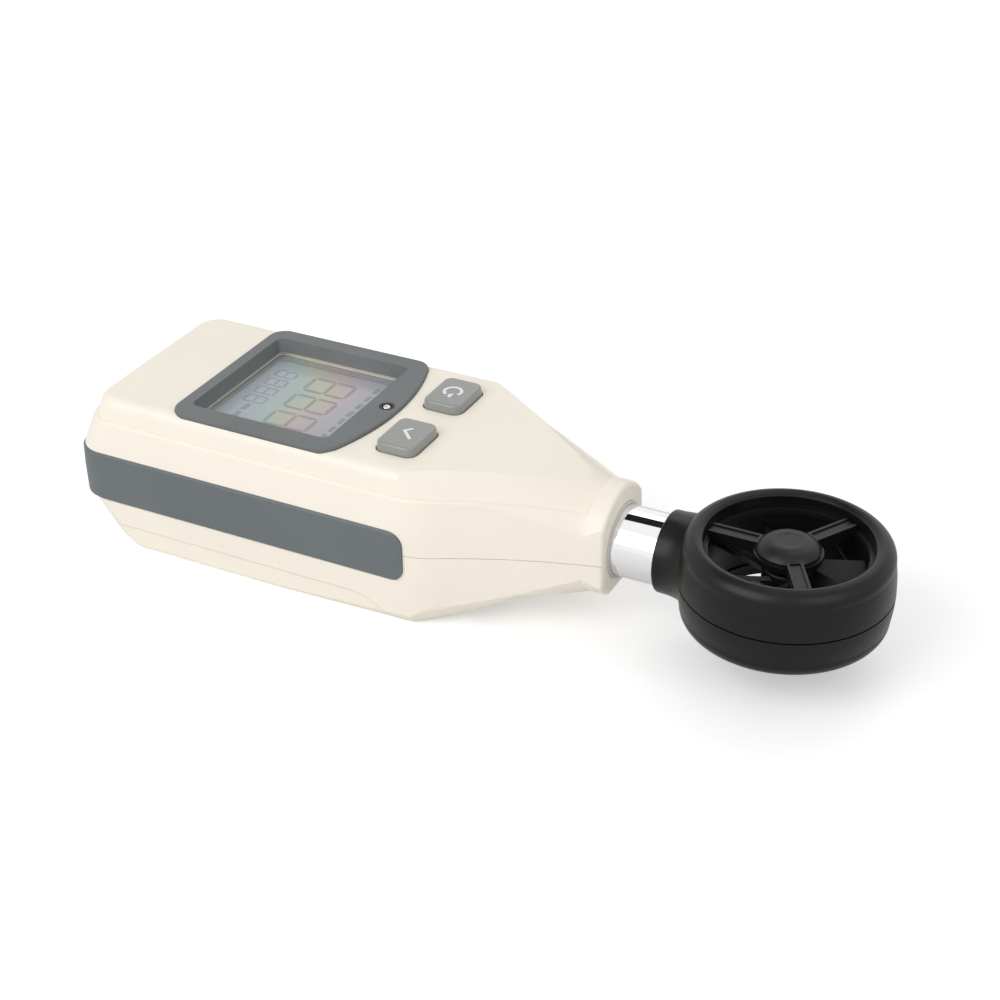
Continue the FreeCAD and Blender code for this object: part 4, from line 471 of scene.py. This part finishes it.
class Palette:
    """Every finish of the object, by slot of the frame's record."""

    CREAM = (0.945, 0.88, 0.768)

    def __init__(self) -> None:
        """Build the finishes."""
        low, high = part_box("battery_cell_1")
        finishes = [
            Moulded(
                "case_cream", self.CREAM,
                shade=0.012, rough=0.42, rough_swing=0.05, grain=4200.0, grain_depth=0.000012,
                soft=0.06),
            Moulded(
                "bumper_rubber", (0.127, 0.146, 0.153), shade=0.05, rough=0.5, rough_swing=0.06),
            Moulded(
                "bezel_plastic", (0.146, 0.157, 0.158),
                shade=0.08, rough=0.5, rough_swing=0.08, grain=3000.0, grain_depth=0.00005),
            Moulded(
                "key_silicone", (0.275, 0.285, 0.272),
                shade=0.04, rough=0.3, rough_swing=0.04, grain=2600.0, soft=0.12, coat=0.4),
            Moulded(
                "head_plastic", (0.006, 0.006, 0.0065),
                shade=0.2, rough=0.3, rough_swing=0.04, grain=6000.0, grain_depth=0.00001,
                specular=0.25),
            Moulded(
                "spider_plastic", (0.007, 0.007, 0.0075),
                shade=0.2, rough=0.36, rough_swing=0.05, specular=0.3),
            Moulded(
                "impeller_plastic", (0.01, 0.01, 0.011),
                shade=0.2, rough=0.38, rough_swing=0.05, specular=0.3),
            Moulded("grommet_rubber", (0.012, 0.012, 0.012), shade=0.2, rough=0.6),
            Moulded("bush_plastic", (0.62, 0.6, 0.56), shade=0.05, rough=0.4),
            Moulded("friction_plastic", (0.7, 0.69, 0.66), shade=0.04, rough=0.4),
            Moulded("zebra_rubber", (0.35, 0.2, 0.24), shade=0.1, rough=0.6),
            Moulded("carbon_pill", (0.015, 0.015, 0.015), shade=0.2, rough=0.7),
            Moulded("mat_silicone", (0.3, 0.31, 0.3), shade=0.05, rough=0.5, soft=0.1),
            Moulded("chip_black", (0.015, 0.015, 0.016), shade=0.15, rough=0.55),
            Moulded("connector_white", (0.72, 0.7, 0.64), shade=0.03, rough=0.45),
            Moulded("lead_pvc", (0.012, 0.012, 0.013), shade=0.2, rough=0.45),
            Moulded("magnet_black", (0.03, 0.03, 0.032), shade=0.2, rough=0.5),
            Moulded("jewel_bearing", (0.35, 0.02, 0.05), shade=0.1, rough=0.12, coat=0.6),
            # Painted shadow for the seam of the vane head: near black with no gloss.
            Moulded("seam_painted_shadow", (0.001, 0.001, 0.001), shade=0.2, rough=0.8, specular=0.0),
            Moulded("sign_white", (0.82, 0.83, 0.82), shade=0.01, rough=0.4),
            Moulded("segment_grey", (0.18, 0.2, 0.2), shade=0.02, rough=0.25, alpha=0.14),
            Moulded("edge_line", (0.6, 0.62, 0.62), shade=0.01, rough=0.25),
            Metal("chrome", (0.93, 0.93, 0.94), rough=0.03, marks=0.01),
            Metal("sensor_steel", (0.72, 0.71, 0.69), rough=0.18),
            Metal("screw_steel", (0.5, 0.5, 0.51), rough=0.3),
            Metal("spring_steel", (0.62, 0.62, 0.6), rough=0.25),
            Metal("contact_nickel", (0.7, 0.67, 0.6), rough=0.25),
            Metal("metal_can", (0.66, 0.66, 0.66), rough=0.28),
            Metal("brass_can", (0.75, 0.56, 0.25), rough=0.3),
            Laminate("board_green"),
            Polariser("lcd_glass"),
            Clear("window_clear"),
            Jacket("cell_jacket", low.x, high.x),
        ]
        self.by_name = {finish.name: finish.build() for finish in finishes}

    def __getitem__(self, name: str) -> bpy.types.Material:
        """The material of one slot."""
        return self.by_name[name]


# ---- Shapes ------------------------------------------------------------------------------
Flat = list[tuple[float, float]]


def rounded(half_u: float, half_v: float, corner: float, steps: int = 8) -> Flat:
    """Rectangle round the middle with rounded corners.

    Args:
        half_u: Half its width.
        half_v: Half its height.
        corner: Radius of its corners.
        steps: Points per corner.

    Returns:
        Its outline, anticlockwise.
    """
    outline = []
    for quarter, (side, rise) in enumerate(((1, 1), (-1, 1), (-1, -1), (1, -1))):
        for step in range(steps + 1):
            turn = math.pi / 2 * (quarter + step / steps)
            outline.append((
                side * (half_u - corner) + corner * math.cos(turn),
                rise * (half_v - corner) + corner * math.sin(turn)))
    return outline


def bar(start: tuple[float, float], end: tuple[float, float], width: float) -> Flat:
    """Straight stroke with pointed ends.

    Args:
        start: Its first point.
        end: Its last point.
        width: Its width.

    Returns:
        Its outline.
    """
    run = Vector(end) - Vector(start)
    along = run.normalized() * width / 2
    side = Vector((-along.y, along.x))
    a, b = Vector(start), Vector(end)
    right, left = [a + along - side, b - along - side], [b - along + side, a + along + side]
    return [tuple(point) for point in (a, *right, b, *left)]


def arc(radius: float, width: float, first: float, last: float, steps: int = 24) -> Flat:
    """Part of a ring.

    Args:
        radius: Middle radius.
        width: Width of the ring.
        first: Angle in degrees at which it starts.
        last: Angle at which it ends.
        steps: Parts that it is divided in.

    Returns:
        Its outline.
    """
    turns = [math.radians(first + (last - first) * step / steps) for step in range(steps + 1)]
    outer, inner = [
        [(reach * math.cos(turn), reach * math.sin(turn)) for turn in turns]
        for reach in (radius + width / 2, radius - width / 2)]
    return outer + inner[::-1]


def shifted(outline: Flat, du: float, dv: float) -> Flat:
    """The same outline at another place."""
    return [(u + du, v + dv) for u, v in outline]


@dataclass
class Plates:
    """Thin printed or moulded plates on a level face of the object.

    Outlines are read as on the upright instrument: u to the right and v towards the vane head.
    """

    centre: Vector
    depth: float = 0.00003
    shape: bmesh.types.BMesh = field(default_factory=bmesh.new)

    def point(self, u: float, v: float, z: float) -> Vector:
        """Where a point of an outline lies in the frame."""
        return Vector((self.centre.x + v, self.centre.y - u, self.centre.z + z))

    def add(self, outline: Flat) -> None:
        """Add a closed plate with this outline."""
        low = [self.shape.verts.new(self.point(u, v, 0.0)) for u, v in outline]
        high = [self.shape.verts.new(self.point(u, v, self.depth)) for u, v in outline]
        self.shape.faces.new(low[::-1])
        self.shape.faces.new(high)
        for index, corner in enumerate(low):
            after = (index + 1) % len(low)
            self.shape.faces.new((corner, low[after], high[after], high[index]))

    def ring(self, outer: Flat, inner: Flat) -> None:
        """Add a closed frame between two outlines with as many points."""
        loops = []
        for outline, z in ((outer, 0.0), (outer, self.depth), (inner, self.depth), (inner, 0.0)):
            loops.append([self.shape.verts.new(self.point(u, v, z)) for u, v in outline])
        for loop, beside in zip(loops, loops[1:] + loops[:1]):
            for index in range(len(loop)):
                after = (index + 1) % len(loop)
                self.shape.faces.new((loop[index], loop[after], beside[after], beside[index]))


@dataclass
class Assembly:
    """Group of pieces that share a palette."""

    palette: Palette
    frame: dict

    def finish(
            self, name: str, shape: bmesh.types.BMesh, finish: str, slot: str,
            body: Body) -> bpy.types.Object:
        """Turn a mesh into a piece of the object.

        Args:
            name: The piece's name.
            shape: Its mesh, which is freed.
            finish: Its finish in the palette.
            slot: Its slot in the record; not used.
            body: The body that carries it.

        Returns:
            The new piece.
        """
        bmesh.ops.recalc_face_normals(shape, faces=shape.faces)
        mesh = bpy.data.meshes.new(name)
        shape.to_mesh(mesh)
        shape.free()
        mesh.materials.append(self.palette[finish])
        piece = bpy.data.objects.new(name, mesh)
        bpy.context.scene.collection.objects.link(piece)
        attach(piece, body.value)
        LOG.info("%s on %s", name, body.value)
        return piece


@dataclass
class Shells(Assembly):
    """Moulded and turned pieces, redrawn with smooth faces and crisp edges."""

    crease: float = math.radians(24.0)
    merge: float = 0.000001
    evenness: int = 80
    nodes: tuple[str, ...] = (
        "front_case", "rear_case", "battery_door", "side_bumper", "display_bezel", "mode_key",
        "set_key", "neck_tube", "neck_bush", "head_upper_shell", "head_lower_shell",
        "upper_spider", "lower_spider", "impeller", "temperature_sensor", "sensor_grommet")

    def build(self) -> None:
        """Redraw every node of the list."""
        slots = {part["node"]: part["material_slot"] for part in self.frame["record"]["subparts"]}
        carried = {}
        for body, names in self.frame["record"]["behaviour"]["bodies"].items():
            for name in names:
                carried[name] = body
        for name in self.nodes:
            self.redraw(name, slots[name], Body(carried[name]))

    def redraw(self, name: str, slot: str, body: Body) -> None:
        """Replace one node by a joined copy with smooth faces.

        Args:
            name: The node.
            slot: Its finish.
            body: The body that carries it.
        """
        shape = bmesh.new()
        shape.from_mesh(self.frame["nodes"][name].data)
        bmesh.ops.remove_doubles(shape, verts=shape.verts, dist=self.merge)
        for face in shape.faces:
            face.smooth = True
        for edge in shape.edges:
            joined = len(edge.link_faces) == 2
            edge.smooth = joined and edge.calc_face_angle(math.pi) < self.crease
        shape.normal_update()
        piece = self.finish(f"{name}_smooth", shape, slot, slot, body)
        weighted = piece.modifiers.new("even_shading", "WEIGHTED_NORMAL")
        weighted.keep_sharp = True
        weighted.weight = self.evenness
        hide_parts(name)


@dataclass(frozen=True)
class Row:
    """Evenly spaced places across the screen, at one level."""

    count: int
    start: float
    pitch: float
    level: float

    def places(self) -> Flat:
        """Middle of each place."""
        return [(index * self.pitch + self.start, self.level) for index in range(self.count)]


@dataclass
class Screen(Assembly):
    """Screen face behind the window: film, faint segments and the lines round the glass."""

    gap: float = 0.00005
    corner: float = 0.0014
    segment_level: float = 0.00005
    line_level: float = 0.00012
    line: float = 0.00022
    line_insets: tuple[float, float] = (0.0009, 0.0016)
    digit: tuple[float, float] = (0.0052, 0.0094)
    digit_row: Row = Row(3, -0.0072, 0.0074, 0.0018)
    small: tuple[float, float] = (0.0026, 0.0044)
    small_row: Row = Row(4, -0.0085, 0.0038, -0.0092)
    icon: tuple[float, float] = (0.0011, 0.0005)
    icon_row: Row = Row(7, -0.0102, 0.0034, 0.0108)
    unit: tuple[float, float] = (0.0013, 0.0006)
    unit_row: Row = Row(3, 0.0064, 0.0034, -0.0092)
    mark_corner: float = 0.0002
    stroke_share: float = 0.15
    end_share: float = 0.18

    # Ends of the seven strokes, in half heights up and widths across
    STROKES = (
        ((0, 2), (1, 2)), ((1, 2), (1, 1)), ((1, 1), (1, 0)), ((0, 0), (1, 0)), ((0, 1), (0, 0)),
        ((0, 2), (0, 1)), ((0, 1), (1, 1)))

    def digits(self, plates: Plates, size: tuple[float, float], row: Row) -> None:
        """Add seven-segment digits.

        Args:
            plates: Where they go.
            size: Width and height of a digit.
            row: Middle of each digit.
        """
        width, height = size
        stroke = width * self.stroke_share
        for u, v in row.places():
            for ends in self.STROKES:
                first, last = [
                    Vector((u + (across - 0.5) * width, v + (up - 1) * height / 2))
                    for across, up in ends]
                run = (last - first).normalized() * stroke * self.end_share
                plates.add(bar(tuple(first + run), tuple(last - run), stroke))

    def marks(self, plates: Plates, half: tuple[float, float], row: Row) -> None:
        """Add small rounded marks of this half width and half height."""
        for u, v in row.places():
            plates.add(shifted(rounded(*half, self.mark_corner, 2), u, v))

    def build(self) -> None:
        """Build the screen's face."""
        low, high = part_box("display_window")
        centre = (low + high) / 2
        centre.z = low.z + self.gap
        half_u, half_v = (high.y - low.y) / 2 - self.gap, (high.x - low.x) / 2 - self.gap
        film = Plates(centre)
        film.add(rounded(half_u, half_v, self.corner))
        self.finish("screen_film", film.shape, "lcd_glass", "lcd_glass", Body.HANDSET)
        segments = Plates(centre + Vector((0.0, 0.0, self.segment_level)))
        self.digits(segments, self.digit, self.digit_row)
        self.digits(segments, self.small, self.small_row)
        self.marks(segments, self.icon, self.icon_row)
        self.marks(segments, self.unit, self.unit_row)
        self.finish(
            "screen_segments", segments.shape, "segment_grey", "lcd_glass", Body.HANDSET)
        edge = Plates(centre + Vector((0.0, 0.0, self.line_level)))
        half_line = self.line / 2
        for inset in self.line_insets:
            outer_u, outer_v = half_u - inset, half_v - inset
            edge.ring(
                rounded(outer_u, outer_v, self.corner),
                rounded(outer_u - half_line, outer_v - half_line, self.corner - half_line))
        self.finish("window_edge_line", edge.shape, "edge_line", "window_clear", Body.HANDSET)


@dataclass
class HeadSeam(Assembly):
    """Near-black ring of painted shadow where the two shells of the vane head meet, open at the
    collar.
    """

    height: float = 0.00026
    sink: float = 0.0004
    proud: float = 0.00002
    above: float = 0.25
    collar: float = math.radians(32.0)
    steps: int = 120

    def build(self) -> None:
        """Spin the line round the head."""
        low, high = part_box("head_upper_shell")
        reach = (high.y - low.y) / 2
        axis = Vector((high.x - reach, (low.y + high.y) / 2, low.z))
        mesh = self.frame["nodes"]["head_upper_shell"].data
        points = [vertex.co for vertex in mesh.vertices if vertex.co.x > axis.x]
        rim = [point for point in points if point.z - low.z < self.height]
        radius = max((point.xy - axis.xy).length for point in rim)
        outer, inner = radius + self.proud, radius - self.sink
        shape = bmesh.new()
        corners = ((inner, 0.0), (outer, 0.0), (outer, -self.height), (inner, -self.height))
        section = shape.faces.new([
            shape.verts.new(axis + Vector((-distance, 0.0, drop + self.height * self.above)))
            for distance, drop in corners])
        turn = Matrix.Rotation(self.collar, 3, "Z")
        bmesh.ops.rotate(shape, cent=axis, matrix=turn, verts=shape.verts)
        bmesh.ops.spin(
            shape, geom=[section], cent=axis, axis=(0.0, 0.0, 1.0),
            angle=2 * (math.pi - self.collar), steps=self.steps)
        ends = [edge for edge in shape.edges if edge.is_boundary]
        bmesh.ops.holes_fill(shape, edges=ends, sides=4)
        # The ring is painted shadow along the seam, not a part of the head.
        self.finish("head_seam_painted_shadow", shape, "seam_painted_shadow", "head_plastic", Body.HEAD)


@dataclass
class KeySigns(Assembly):
    """White signs printed on the keys: a turning arrow to step on and a tick to confirm."""

    stroke: float = 0.00062
    lift: float = 0.00001
    turn_radius: float = 0.0017
    turn_span: tuple[float, float] = (60, 350)
    arrow: tuple[tuple[float, float], ...] = (
        (0.0007, 0.0006), (0.0026, 0.0006), (0.0017, -0.0008))
    tick: tuple[tuple[float, float], ...] = (
        (-0.0021, 0.0001), (-0.0006, -0.0008), (0.0021, 0.0019))
    tick_share: float = 0.7

    def plates(self, node: str) -> Plates:
        """Level face on top of a key."""
        low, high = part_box(node)
        centre = (low + high) / 2
        centre.z = high.z + self.lift
        return Plates(centre)

    def build(self) -> None:
        """Print both signs."""
        turn = self.plates("mode_key")
        turn.add(arc(self.turn_radius, self.stroke, *self.turn_span))
        turn.add(list(self.arrow))
        self.finish("mode_sign", turn.shape, "sign_white", "connector_white", Body.MODE)
        tick = self.plates("set_key")
        half = self.stroke * self.tick_share
        (start_u, start_v), (foot_u, foot_v), (end_u, end_v) = self.tick
        tick.add([
            (start_u, start_v), (start_u + half, start_v + half), (foot_u, foot_v + half),
            (end_u - half, end_v), (end_u, end_v - half), (foot_u, foot_v - half)])
        self.finish("set_sign", tick.shape, "sign_white", "connector_white", Body.SET)


@dataclass
class BoardParts(Assembly):
    """Small parts on the underside of the main board."""

    places: tuple[tuple[float, float], ...] = (
        (-0.052, 0.010), (-0.0515, 0.0065), (-0.040, 0.012), (-0.0395, -0.010), (-0.030, -0.012),
        (-0.0285, -0.004), (-0.026, 0.011), (-0.018, 0.0125), (-0.012, 0.005), (-0.008, -0.0115),
        (-0.003, 0.009))
    half: tuple[float, float] = (0.0008, 0.0004)
    drop: float = 0.0005
    edge: float = 0.00006

    def build(self) -> None:
        """Seat the parts."""
        low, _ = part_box("main_board")
        shape = bmesh.new()
        for x, y in self.places:
            made = bmesh.ops.create_cube(shape, size=1.0)["verts"]
            bmesh.ops.scale(
                shape, vec=(2 * self.half[0], 2 * self.half[1], self.drop), verts=made)
            bmesh.ops.translate(shape, vec=(x, y, low.z - self.drop / 2), verts=made)
        bmesh.ops.bevel(
            shape, geom=shape.edges[:], offset=self.edge, affect="EDGES", segments=2,
            profile=0.5, material=-1)
        self.finish("board_parts", shape, "chip_black", "chip_black", Body.HANDSET)


# ---- Studio ------------------------------------------------------------------------------
@dataclass(frozen=True)
class Lamp:
    """Soft square lamp: its name, place, edge length and watts."""

    name: str
    place: Place
    size: float
    power: float


@dataclass
class Studio:
    """Pale floor, soft lamps and the camera.

    The camera has a long lens and looks down on the object from in front of its long side. The
    floor glows a little, for the camera alone, and more further off, so that it stays as white
    as the world behind it.
    """

    azimuth: float = math.radians(27.37)
    elevation: float = math.radians(31.25)
    roll: float = math.radians(-0.61)
    distance: float = 0.3798
    target: Place = (0.00248, 0.00237, 0.0176)
    lens: float = 70.87
    sensor: float = 36.0
    near: float = 0.01
    lamp_aim: Place = (0.0, 0.0, 0.01)
    lamps: tuple[Lamp, ...] = (
        Lamp("key_lamp", (-0.25, -0.6, 0.5), 0.6, 2.95),
        Lamp("fill_lamp", (0.6, -0.3, 0.5), 0.5, 0.9),
        Lamp("rim_lamp", (0.0, 0.5, 0.7), 0.6, 1.1))
    world_level: float = 0.5
    floor_half: float = 3.0
    floor_grey: float = 0.9
    floor_rough: float = 0.9
    floor_lift: float = 0.32
    far_lift: float = 0.7
    lift_start: float = 0.35
    lift_end: float = 1.1
    flag_place: Place = (-0.188, 0.14, 0.52)
    flag_aim: Place = (0.034, 0.0, 0.0176)
    flag_size: tuple[float, float] = (0.9, 0.15)
    flag_grey: float = 0.005

    def camera(self) -> None:
        """Make the camera and give it to the scene."""
        back = Vector((
            math.sin(self.azimuth) * math.cos(self.elevation),
            -math.cos(self.azimuth) * math.cos(self.elevation), math.sin(self.elevation)))
        right = Vector((math.cos(self.azimuth), math.sin(self.azimuth), 0.0))
        up = back.cross(right)
        turn, rise = math.cos(self.roll), math.sin(self.roll)
        right, up = right * turn + up * rise, up * turn - right * rise
        lens = bpy.data.cameras.new("camera")
        lens.lens = self.lens
        lens.sensor_width = self.sensor
        lens.clip_start = self.near
        seat = bpy.data.objects.new("camera", lens)
        bpy.context.scene.collection.objects.link(seat)
        basis = Matrix((right, up, back)).transposed().to_4x4()
        place = Vector(self.target) + back * self.distance
        seat.matrix_world = Matrix.Translation(place) @ basis
        bpy.context.scene.camera = seat

    def hang(self, lamp: Lamp) -> None:
        """Hang a lamp that faces the object."""
        light = bpy.data.lights.new(lamp.name, "AREA")
        light.size = lamp.size
        light.energy = lamp.power
        seat = bpy.data.objects.new(lamp.name, light)
        bpy.context.scene.collection.objects.link(seat)
        turn = (Vector(lamp.place) - Vector(self.lamp_aim)).to_track_quat("Z", "Y")
        seat.matrix_world = Matrix.Translation(lamp.place) @ turn.to_matrix().to_4x4()

    def flag(self) -> None:
        """Hang the dark card whose edge draws the line along the bright tube."""
        mesh = bpy.data.meshes.new("flag")
        shape = bmesh.new()
        bmesh.ops.create_grid(shape, x_segments=1, y_segments=1, size=0.5)
        bmesh.ops.scale(shape, vec=(self.flag_size[0], self.flag_size[1], 1.0), verts=shape.verts)
        aim = Vector(self.flag_place) - Vector(self.flag_aim)
        turn = aim.to_track_quat("Z", "Y").to_matrix()
        bmesh.ops.rotate(shape, matrix=turn, verts=shape.verts)
        bmesh.ops.translate(shape, vec=self.flag_place, verts=shape.verts)
        shape.to_mesh(mesh)
        shape.free()
        card = bpy.data.objects.new("flag", mesh)
        bpy.context.scene.collection.objects.link(card)
        graph = Graph("flag_black")
        graph.shader.inputs["Base Color"].default_value = (*[self.flag_grey] * 3, 1.0)
        graph.shader.inputs["Roughness"].default_value = 1.0
        mesh.materials.append(graph.material)
        for kind in ("camera", "diffuse", "shadow", "transmission", "volume_scatter"):
            setattr(card, f"visible_{kind}", False)

    def floor(self) -> None:
        """Lay the pale floor."""
        mesh = bpy.data.meshes.new("floor")
        shape = bmesh.new()
        bmesh.ops.create_grid(shape, x_segments=1, y_segments=1, size=self.floor_half)
        shape.to_mesh(mesh)
        shape.free()
        floor = bpy.data.objects.new("floor", mesh)
        bpy.context.scene.collection.objects.link(floor)
        graph = Graph("studio_floor")
        graph.shader.inputs["Base Color"].default_value = (*[self.floor_grey] * 3, 1.0)
        graph.shader.inputs["Roughness"].default_value = self.floor_rough
        graph.shader.inputs["Specular IOR Level"].default_value = 0.0
        graph.shader.inputs["Emission Color"].default_value = (1.0, 1.0, 1.0, 1.0)
        reach = graph.node("VectorMath", operation="LENGTH")
        graph.link(graph.place, reach.inputs["Vector"])
        lift = graph.node("MapRange")
        lift.inputs["From Min"].default_value = self.lift_start
        lift.inputs["From Max"].default_value = self.lift_end
        lift.inputs["To Min"].default_value = self.floor_lift
        lift.inputs["To Max"].default_value = self.far_lift
        graph.link(reach.outputs["Value"], lift.inputs["Value"])
        level = graph.node("Math", operation="MULTIPLY")
        graph.link(graph.node("LightPath").outputs["Is Camera Ray"], level.inputs[0])
        graph.link(lift.outputs["Result"], level.inputs[1])
        graph.link(level.outputs["Value"], graph.shader.inputs["Emission Strength"])
        mesh.materials.append(graph.material)

    def world(self) -> None:
        """Fill the surroundings with a pale light, which shows as white."""
        world = bpy.data.worlds.new("studio")
        world.use_nodes = True
        nodes, links = world.node_tree.nodes, world.node_tree.links
        back = nodes["Background"]
        back.inputs["Color"].default_value = (1.0, 1.0, 1.0, 1.0)
        rays = nodes.new("ShaderNodeLightPath")
        seen = rays.outputs["Is Camera Ray"]
        for kind in ("Is Glossy Ray", "Is Transmission Ray"):
            either = nodes.new("ShaderNodeMath")
            either.operation = "MAXIMUM"
            links.new(seen, either.inputs[0])
            links.new(rays.outputs[kind], either.inputs[1])
            seen = either.outputs[0]
        level = nodes.new("ShaderNodeMapRange")
        level.inputs["To Min"].default_value = self.world_level
        level.inputs["To Max"].default_value = 1.0
        links.new(seen, level.inputs["Value"])
        links.new(level.outputs["Result"], back.inputs["Strength"])
        bpy.context.scene.world = world

    def build(self) -> None:
        """Set up the whole studio."""
        self.camera()
        self.floor()
        self.world()
        self.flag()
        for lamp in self.lamps:
            self.hang(lamp)
        bpy.context.scene.view_settings.view_transform = "Standard"


def main() -> None:
    """Dress the frame and set the studio."""
    logging.basicConfig(level=logging.INFO, format="%(name)s: %(message)s")
    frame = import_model()
    Studio().build()
    palette = Palette()
    slots = {part["node"]: part["material_slot"] for part in frame["record"]["subparts"]}
    for name, node in frame["nodes"].items():
        for slot in node.material_slots:
            slot.material = palette[slots[name]]
    for assembly in (Shells, Screen, HeadSeam, KeySigns, BoardParts):
        assembly(palette, frame).build()
    LOG.info("%d nodes dressed", len(frame["nodes"]))


if __name__ == "__main__":
    main()
